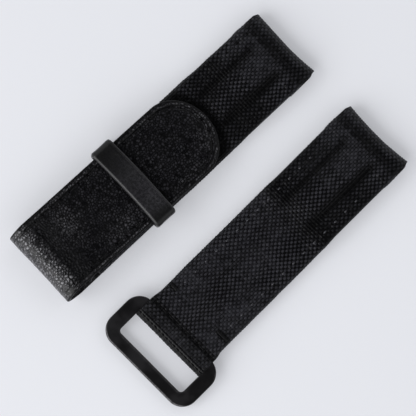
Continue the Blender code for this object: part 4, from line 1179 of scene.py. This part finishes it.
def ringOutline():
    # A C in the ring's own plane, pin axis at the origin: round the outside from one strap-side end to the
    # other, then back along the opening
    size = ringSize
    outerX, outerY = size["strapSide"], size["width"] / 2
    farX = outerX - size["length"]
    half, corner, small, tip = size["opening"] / 2, size["corner"], size["inner"], size["tip"]
    cornerX, cornerY = outerX - corner, outerY - corner
    rise = half + tip - cornerY
    tipX = cornerX + math.sqrt((corner - tip) ** 2 - rise ** 2)          # middle of the arm's rounded end
    tipAngle = math.degrees(math.asin(rise / (corner - tip)))
    arcs = [curveLine(tipX, half + tip, tip, -90, tipAngle, 0.12),
            curveLine(cornerX, cornerY, corner, tipAngle, 90, 0.2),
            curveLine(farX + corner, cornerY, corner, 90, 180, 0.2),
            curveLine(farX + corner, -cornerY, corner, 180, 270, 0.2),
            curveLine(cornerX, -cornerY, corner, 270, 360 - tipAngle, 0.2),
            curveLine(tipX, -half - tip, tip, -tipAngle, 90, 0.12),
            curveLine(farX + size["far"] + small, small - half, small, 270, 180, 0.12),
            curveLine(farX + size["far"] + small, half - small, small, 180, 90, 0.12)]
    line = np.concatenate(arcs)
    return line[np.hypot(*(line - np.roll(line, 1, axis=0)).T) > 1e-4]


def makeRing():
    # The outline carried through a profile of inset and height: flat top, rounded chamfer, wall, chamfer and
    # flat bottom
    line = ringOutline()
    x, y, farX = line[:, :1], line[:, 1:], ringSize["strapSide"] - ringSize["length"]
    out = sideways(np.roll(line, -1, axis=0) - line)
    out = out + np.roll(out, 1, axis=0)
    out /= np.linalg.norm(out, axis=1, keepdims=True)
    chamfer, half = ringSize["chamfer"], ringSize["thick"] / 2
    angle = np.radians(np.linspace(90, 0, 7))
    inset = chamfer - chamfer * np.cos(angle)
    height = half - chamfer + chamfer * np.sin(angle)
    inset = np.concatenate([[chamfer + 0.12], inset, inset[::-1], [chamfer + 0.12]])
    height = np.concatenate([[half], height, -height[::-1], [-half]])
    # a smaller chamfer at the thin ends of the arms, a larger one on the far bar's side of the opening
    inside = (np.abs(y) < 11.6) & (x < 0) & (x > farX + 2)
    fine = 1 - 0.7 * smooth(x, 0.6, 1.6) + 0.4 * inside + 0.3 * smooth(farX - x, -2.0, -0.5)
    flatPoints = line[:, None, :] - (out * fine)[:, None, :] * inset[None, :, None]
    tall = np.broadcast_to(height[None, :, None], flatPoints.shape[:2] + (1,))
    points = np.concatenate([flatPoints, tall], axis=-1)
    rows, columns = points.shape[:2]
    number = np.arange(rows * columns).reshape(rows, columns)
    after = np.roll(number, -1, axis=0)
    quads = np.stack([number[:, :-1], after[:, :-1], after[:, 1:], number[:, 1:]], axis=-1).reshape(-1, 4)
    caps = [number[::-1, 0], number[:, -1]]
    # painted highlight along the chamfers: a little everywhere, more at the far bar and at the end of one arm
    opening = 0.16 * smooth(-np.abs(x - farX - ringSize["far"]), -0.4, -0.1)
    opening = opening * smooth(-np.abs(y), -12.6, -12.0)
    outside = 0.3 * smooth(-y, 9, 14) * smooth(x, -2, 1) + smooth(farX - x, -3.0, -0.8)
    chamfered = (inset > 0.3 * chamfer) & (inset < 1.01 * chamfer) & (height > 0)
    paintedChamferLight = (0.06 + 0.94 * np.maximum(opening, outside)) * chamfered[None, :]
    pin = crossBar(0, 0, ringSize["pin"] / 2, ringSize["opening"] / 2 + ringSize["intoArm"], 32)
    both, quads, caps = joinForms((points, quads, caps), pin)
    # the ring leans on its pin until its far bar lies on the table
    tilt = math.asin((loopRadius - half) / shortSize["pin"])
    tilted = np.stack([both[:, 0] * math.cos(tilt) - both[:, 2] * math.sin(tilt), both[:, 1],
                       both[:, 0] * math.sin(tilt) + both[:, 2] * math.cos(tilt)], axis=-1)
    marks = dict(rim=np.concatenate([paintedChamferLight.ravel(), np.zeros(len(both) - paintedChamferLight.size)]))
    return addPiece("ringBar", placeShort(tilted + (pinX, 0, loopRadius)), quads, caps, finishes["metal"],
                    marks=marks, sharp=24)


ringBar = makeRing()
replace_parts(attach(ringBar, "ring"), "ring")
print("keeper and ring made")

# Tapes


def tapeStrip(track, s, half, thick, relief):
    # A flat strip with small round rims: rows along s, columns across, bottom plain
    share = np.concatenate([[-1, -0.992], np.linspace(-0.97, 0.97, 61), [0.992, 1]])[None, :]
    s, y = s[:, None], half[:, None] * share
    edge = 1 - smooth(np.abs(share), 0.97, 1.0)
    top = thick / 2 - 0.12 * (1 - edge) + relief(s + 0 * y, y) * edge
    bottom = -thick / 2 + 0.12 * (1 - edge) + 0 * y
    points = closed(track.at(s, y, top), track.at(s, y, bottom))
    quads, caps = shellFaces(*points.shape[:2])
    return points, quads, caps


tapes = dict(loopThick=0.92, loopHalf=10.5, loopPileWidth=20.4, loopPitch=0.62,
             hookThick=0.78, hookHalf=9.0, hookFieldWidth=17.4, hookFieldHalf=8.6, hookPitch=1.05,
             hookRound=6.1, hookToTip=3.2, hookInset=0.6)
loopThick, hookThick = tapes["loopThick"], tapes["hookThick"]
loopMiddle = layers["thin"] + 0.05 + loopThick / 2     # a little into the weave, so that no light shows
loopLine = straightLine(tapeX, boxOf("loop_tape")[1][0], lambda x: baseHeight(x) + loopMiddle)
loopTrack = Track([loopLine], -1, baseLean(loopLine[:, 0]))
hookLine = straightLine(tapeX, flapTipX - tapes["hookToTip"],
                        lambda x: flapMiddle(x) - layers["leather"] / 2 - hookThick / 2)
hookTrack = Track([hookLine], 1, flapLean(hookLine[:, 0]))


def scatter(length, width, pitch, seed):
    # A jittered grid of places over a tape
    across = np.arange(pitch / 2 - width / 2, width / 2, pitch)
    a, b = np.meshgrid(np.arange(pitch / 2, length, pitch), across)
    jitter = np.random.default_rng(seed).uniform(-0.3, 0.3, (2,) + a.shape) * pitch
    return np.stack([(a + jitter[0]).ravel(), (b + jitter[1]).ravel()], axis=1)


def curls(track, places, body, seed):
    # Many small bent hairs: from its foot each rises and curls over in a circle of the given radius.
    # k from 0 to 1 along it: sideways radius * (1 - cos(turn k)), up stem + radius * sin(turn k).
    count, steps, ring = len(places), body["steps"], body["sides"]
    random = np.random.default_rng(seed)
    heading = random.uniform(0, math.tau, count)[:, None, None]
    size = random.uniform(0.8, 1.15, count)[:, None, None]
    k = np.linspace(0, 1, steps)[None, :, None]
    bend = k * math.radians(body["turn"])
    reach = body["radius"] * size * (1 - np.cos(bend))
    height = body["radius"] * size * np.sin(bend) + body["stem"] * np.minimum(k * 4, 1)
    turn = np.linspace(0, math.tau, ring, endpoint=False)[None, None, :]
    thick = body["hair"] / 2
    reach = reach + thick * np.cos(turn) * np.cos(bend)
    height = height + thick * np.cos(turn) * np.sin(bend)
    across = thick * np.sin(turn)
    s = places[:, 0, None, None] + reach * np.cos(heading) - across * np.sin(heading)
    t = places[:, 1, None, None] + reach * np.sin(heading) + across * np.cos(heading)
    quads, caps = tubeFaces(count, steps, ring)
    return track.at(s, t, body["foot"] + height).reshape(-1, 3), quads, caps


loopS = np.arange(0, loopTrack.s[-1], 0.3)
loopBase = tapeStrip(loopTrack, loopS, np.full(len(loopS), tapes["loopHalf"]), loopThick,
                     lambda s, t: 0.10 * lumps(s, t, 0.9, 61) + 0.05 * lumps(s, t, 0.4, 62))
pile = dict(steps=7, sides=4, turn=165, radius=0.17, stem=0.06, hair=0.07, foot=loopThick / 2 - 0.04)
loopSpots = scatter(loopTrack.s[-1], tapes["loopPileWidth"], tapes["loopPitch"], 63)
loopHairs = curls(loopTrack, loopSpots, pile, 64)
loopTape = addPiece("loopTape", *joinForms(loopBase, loopHairs), finishes["pile"])
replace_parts(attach(loopTape, "long_strap"), "loop_tape")

hookLength, hookRound = hookTrack.s[-1], tapes["hookRound"]


def hookShare(s):
    # Half width of the hook tape as a share of its full one: a quarter of an ellipse at its round end
    return np.sqrt(1 - np.clip((s - hookLength + hookRound) / hookRound, 0, 1) ** 2)


hookRows = np.concatenate([np.arange(0, hookLength - hookRound, 1.0),
                           hookLength - hookRound + hookRound * np.sin(np.linspace(0, math.radians(88), 16))])
hookBase = tapeStrip(hookTrack, hookRows, tapes["hookHalf"] * hookShare(hookRows), hookThick,
                     lambda s, t: 0 * s)
hooks = dict(steps=6, sides=4, turn=200, radius=0.15, stem=0.16, hair=0.12, foot=hookThick / 2 - 0.02)
hookSpots = scatter(hookLength - tapes["hookInset"], tapes["hookFieldWidth"], tapes["hookPitch"], 66)
hookSpots = hookSpots[np.abs(hookSpots[:, 1]) < tapes["hookFieldHalf"] * hookShare(hookSpots[:, 0])]
hookHairs = curls(hookTrack, hookSpots, hooks, 67)
hookTape = addPiece("hookTape", *joinForms(hookBase, hookHairs), finishes["hook"])
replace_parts(peels(hookTape), "hook_tape", "flap_end_hook_tape")
print("tapes made", len(hookSpots), "hooks")

# Padding boards


board = dict(half=10.6, below=0.45, clear=0.1, crown=0.12, tunnel=0.95, drillReach=13, fill=0.9)


def padCore(name, lug, endX, topOf, baseOf, leanOf, place):
    # Loft from a round nose to a thin end: top and bottom sheets over stations along x
    over, centre = layers["canvas"] + board["below"], lug - lugRadius
    nose = lugRadius - over
    angle = np.radians(np.linspace(6, 90, 14))
    bodyX = np.linspace(centre, endX, 60)[1:]
    x = np.concatenate([centre + nose * np.cos(angle), bodyX])[:, None]
    top = np.concatenate([lugRadius + nose * np.sin(angle), topOf(bodyX) - over])[:, None]
    turnedIn = smooth(bodyX, lug - 9, lug - 7)
    under = layers["leather"] + board["clear"]
    under = under + (layers["canvas"] + board["clear"] - layers["leather"]) * turnedIn
    bottom = np.concatenate([lugRadius - nose * np.sin(angle), baseOf(bodyX) + under])[:, None]
    side = np.linspace(-board["half"], board["half"], 25)[None, :]
    crown = board["crown"] * (1 - (side / board["half"]) ** 4) - board["crown"]
    fuzz = 0.03 * lumps(x + 0 * side, side + 0 * x, 0.8, 71)
    y = side + leanOf(x)
    upper = np.stack([x + 0 * side, y, top + crown + fuzz], axis=-1)
    lower = np.stack([x + 0 * side, y, bottom + 0 * side], axis=-1)
    points = closed(upper, lower)
    quads, caps = shellFaces(*points.shape[:2])
    core = addPiece(name, place(points), quads, caps, finishes["felt"])
    drill, quads, caps = crossBar(centre, lugRadius, board["tunnel"], board["drillReach"], 28)
    cutter = addPiece(name + "Drill", place(drill), quads, caps, finishes["felt"])
    cut = core.modifiers.new("tunnel", "BOOLEAN")
    cut.operation, cut.object = "DIFFERENCE", cutter
    shape = core.evaluated_get(bpy.context.evaluated_depsgraph_get())
    core.data = bpy.data.meshes.new_from_object(shape)
    core.modifiers.clear()
    core.data.set_sharp_from_angle(angle=math.radians(35))
    bpy.data.objects.remove(cutter)
    return core


longCore = padCore("longPadCore", lugX, canvasEndX + 0.2, longTop, baseHeight, baseLean, stay)
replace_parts(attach(longCore, "long_strap"), "long_pad_core")
shortCore = padCore("shortPadCore", shortLug, ringFar + shortSize["core"], shortTop, np.zeros_like,
                    np.zeros_like, placeShort)
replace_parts(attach(shortCore, "short_strap"), "short_pad_core")
print("padding made")

# Table, light and camera

studio = dict(target=(-29.55, -19.50, 0.0), distance=900.0, frameWidth=118.9, tilt=3.5,
              right=(0.73483, -0.67825, 0.0), leanTo=(-0.9992, -0.0400, 0.0), sensor=36,
              reach=1.6, tableZ=-0.2,
              floor=(0.800, 0.810, 0.850), horizon=1.035, around=1.38, zenith=0.03, shade=(0.62, 0.90),
              side=0.22, across=0.62, backdrop=0.8, sky=(0.97, 0.98, 1.0, 1), glow=0.33,
              window=8.8, windowFrom=(-1.0, 0.25, 0.60), windowAway=1.0, windowSize=(1.2, 0.95))


def unit(vector):
    return Vector(vector).normalized()


def makeFloor():
    finish = Finish("paleTable", Roughness=0.85, Specular_IOR_Level=0.2)
    tone = finish.noise(finish.place(), 0.004, 2.0)
    low, high = [tuple(c * k for c in studio["floor"]) for k in (0.985, 1.015)]
    material = finish.set(Base_Color=finish.mix(tone, low, high))
    # the camera sees part of the pale board as glowing, so that the shadows on it stay light
    seen = finish.node("ShaderNodeLightPath", output="Is Camera Ray")
    glow = finish.node("ShaderNodeEmission", {}, {"Color": (*studio["floor"], 1), "Strength": 1.0})
    both = finish.node("ShaderNodeMixShader", {}, {0: seen * studio["glow"], 1: finish.surface(), 2: glow})
    finish.tree.links.new(both.socket, finish.tree.nodes["Material Output"].inputs["Surface"])
    mesh = bpy.data.meshes.new("table")
    reach = studio["reach"]
    corners = [(-reach, -reach, 0), (reach, -reach, 0), (reach, reach, 0), (-reach, reach, 0)]
    mesh.from_pydata(corners, [], [(0, 1, 2, 3)])
    mesh.materials.append(material)
    table = bpy.data.objects.new("table", mesh)
    bpy.context.scene.collection.objects.link(table)
    table.location.z = studio["tableZ"] * mm


def areaLight(name, direction, distance, size, power):
    # A soft box that looks at the strap from that direction
    target = Vector(studio["target"]) * mm
    spot = target + unit(direction) * distance
    lamp = bpy.data.lights.new(name, "AREA")
    lamp.shape, lamp.energy = "RECTANGLE", power
    lamp.size, lamp.size_y = size
    item = bpy.data.objects.new(name, lamp)
    item.location = spot
    item.rotation_euler = (target - spot).to_track_quat("-Z", "Y").to_euler()
    bpy.context.scene.collection.objects.link(item)


def makeWorld():
    # The room is bright all round, a little less on the right and across the straps, and dark overhead,
    # where the camera hangs
    world = bpy.data.worlds.new("studio")
    world.use_nodes = True
    nodes, links = world.node_tree.nodes, world.node_tree.links
    place, split = nodes.new("ShaderNodeTexCoord"), nodes.new("ShaderNodeSeparateXYZ")
    back = nodes["Background"]
    links.new(place.outputs["Generated"], split.inputs[0])

    def ramp(value, start, end, low, high):
        made = nodes.new("ShaderNodeMapRange")
        made.interpolation_type = "SMOOTHSTEP"
        links.new(value, made.inputs["Value"])
        for socket, amount in zip(("From Min", "From Max", "To Min", "To Max"), (start, end, low, high)):
            made.inputs[socket].default_value = amount
        return made.outputs[0]

    def times(first, second):
        made = nodes.new("ShaderNodeMath")
        made.operation = "MULTIPLY"
        links.new(first, made.inputs[0])
        links.new(second, made.inputs[1])
        return made.outputs[0]

    x, y, z = (split.outputs[axis] for axis in "XYZ")
    around = ramp(z, 0, 0.6, studio["horizon"], studio["around"])
    strength = times(around, ramp(z, *studio["shade"], 1, studio["zenith"]))
    strength = times(strength, ramp(x, -1, 1, 1 + studio["side"], 1 - studio["side"]))
    strength = times(strength, ramp(times(y, y), 0.15, 0.7, 1, studio["across"]))
    seen, path = nodes.new("ShaderNodeMix"), nodes.new("ShaderNodeLightPath")
    links.new(path.outputs["Is Camera Ray"], seen.inputs[0])
    links.new(strength, seen.inputs[2])
    seen.inputs[3].default_value = studio["backdrop"]
    links.new(seen.outputs[0], back.inputs["Strength"])
    back.inputs["Color"].default_value = studio["sky"]
    bpy.context.scene.world = world


def makeCamera():
    # Almost straight above, tilted a little towards leanTo, with right as the picture's right
    scene, right = bpy.context.scene, unit(studio["right"])
    target, tilt = Vector(studio["target"]) * mm, math.radians(studio["tilt"])
    toCamera = unit(studio["leanTo"]) * math.sin(tilt) + Vector((0, 0, math.cos(tilt)))
    camera = bpy.data.objects.new("camera", bpy.data.cameras.new("camera"))
    camera.data.sensor_width = studio["sensor"]
    camera.data.lens = studio["sensor"] * studio["distance"] / studio["frameWidth"]
    camera.data.clip_end = 20
    camera.location = target + toCamera * studio["distance"] * mm
    side = (right - toCamera * right.dot(toCamera)).normalized()
    turn = Matrix((side, toCamera.cross(side), toCamera)).transposed()
    camera.rotation_euler = turn.to_euler()
    scene.collection.objects.link(camera)
    scene.camera = camera


makeFloor()
makeWorld()
areaLight("window", studio["windowFrom"], studio["windowAway"], studio["windowSize"], studio["window"])
bpy.context.scene.view_settings.view_transform = "Standard"
makeCamera()
print("table, light and camera made")
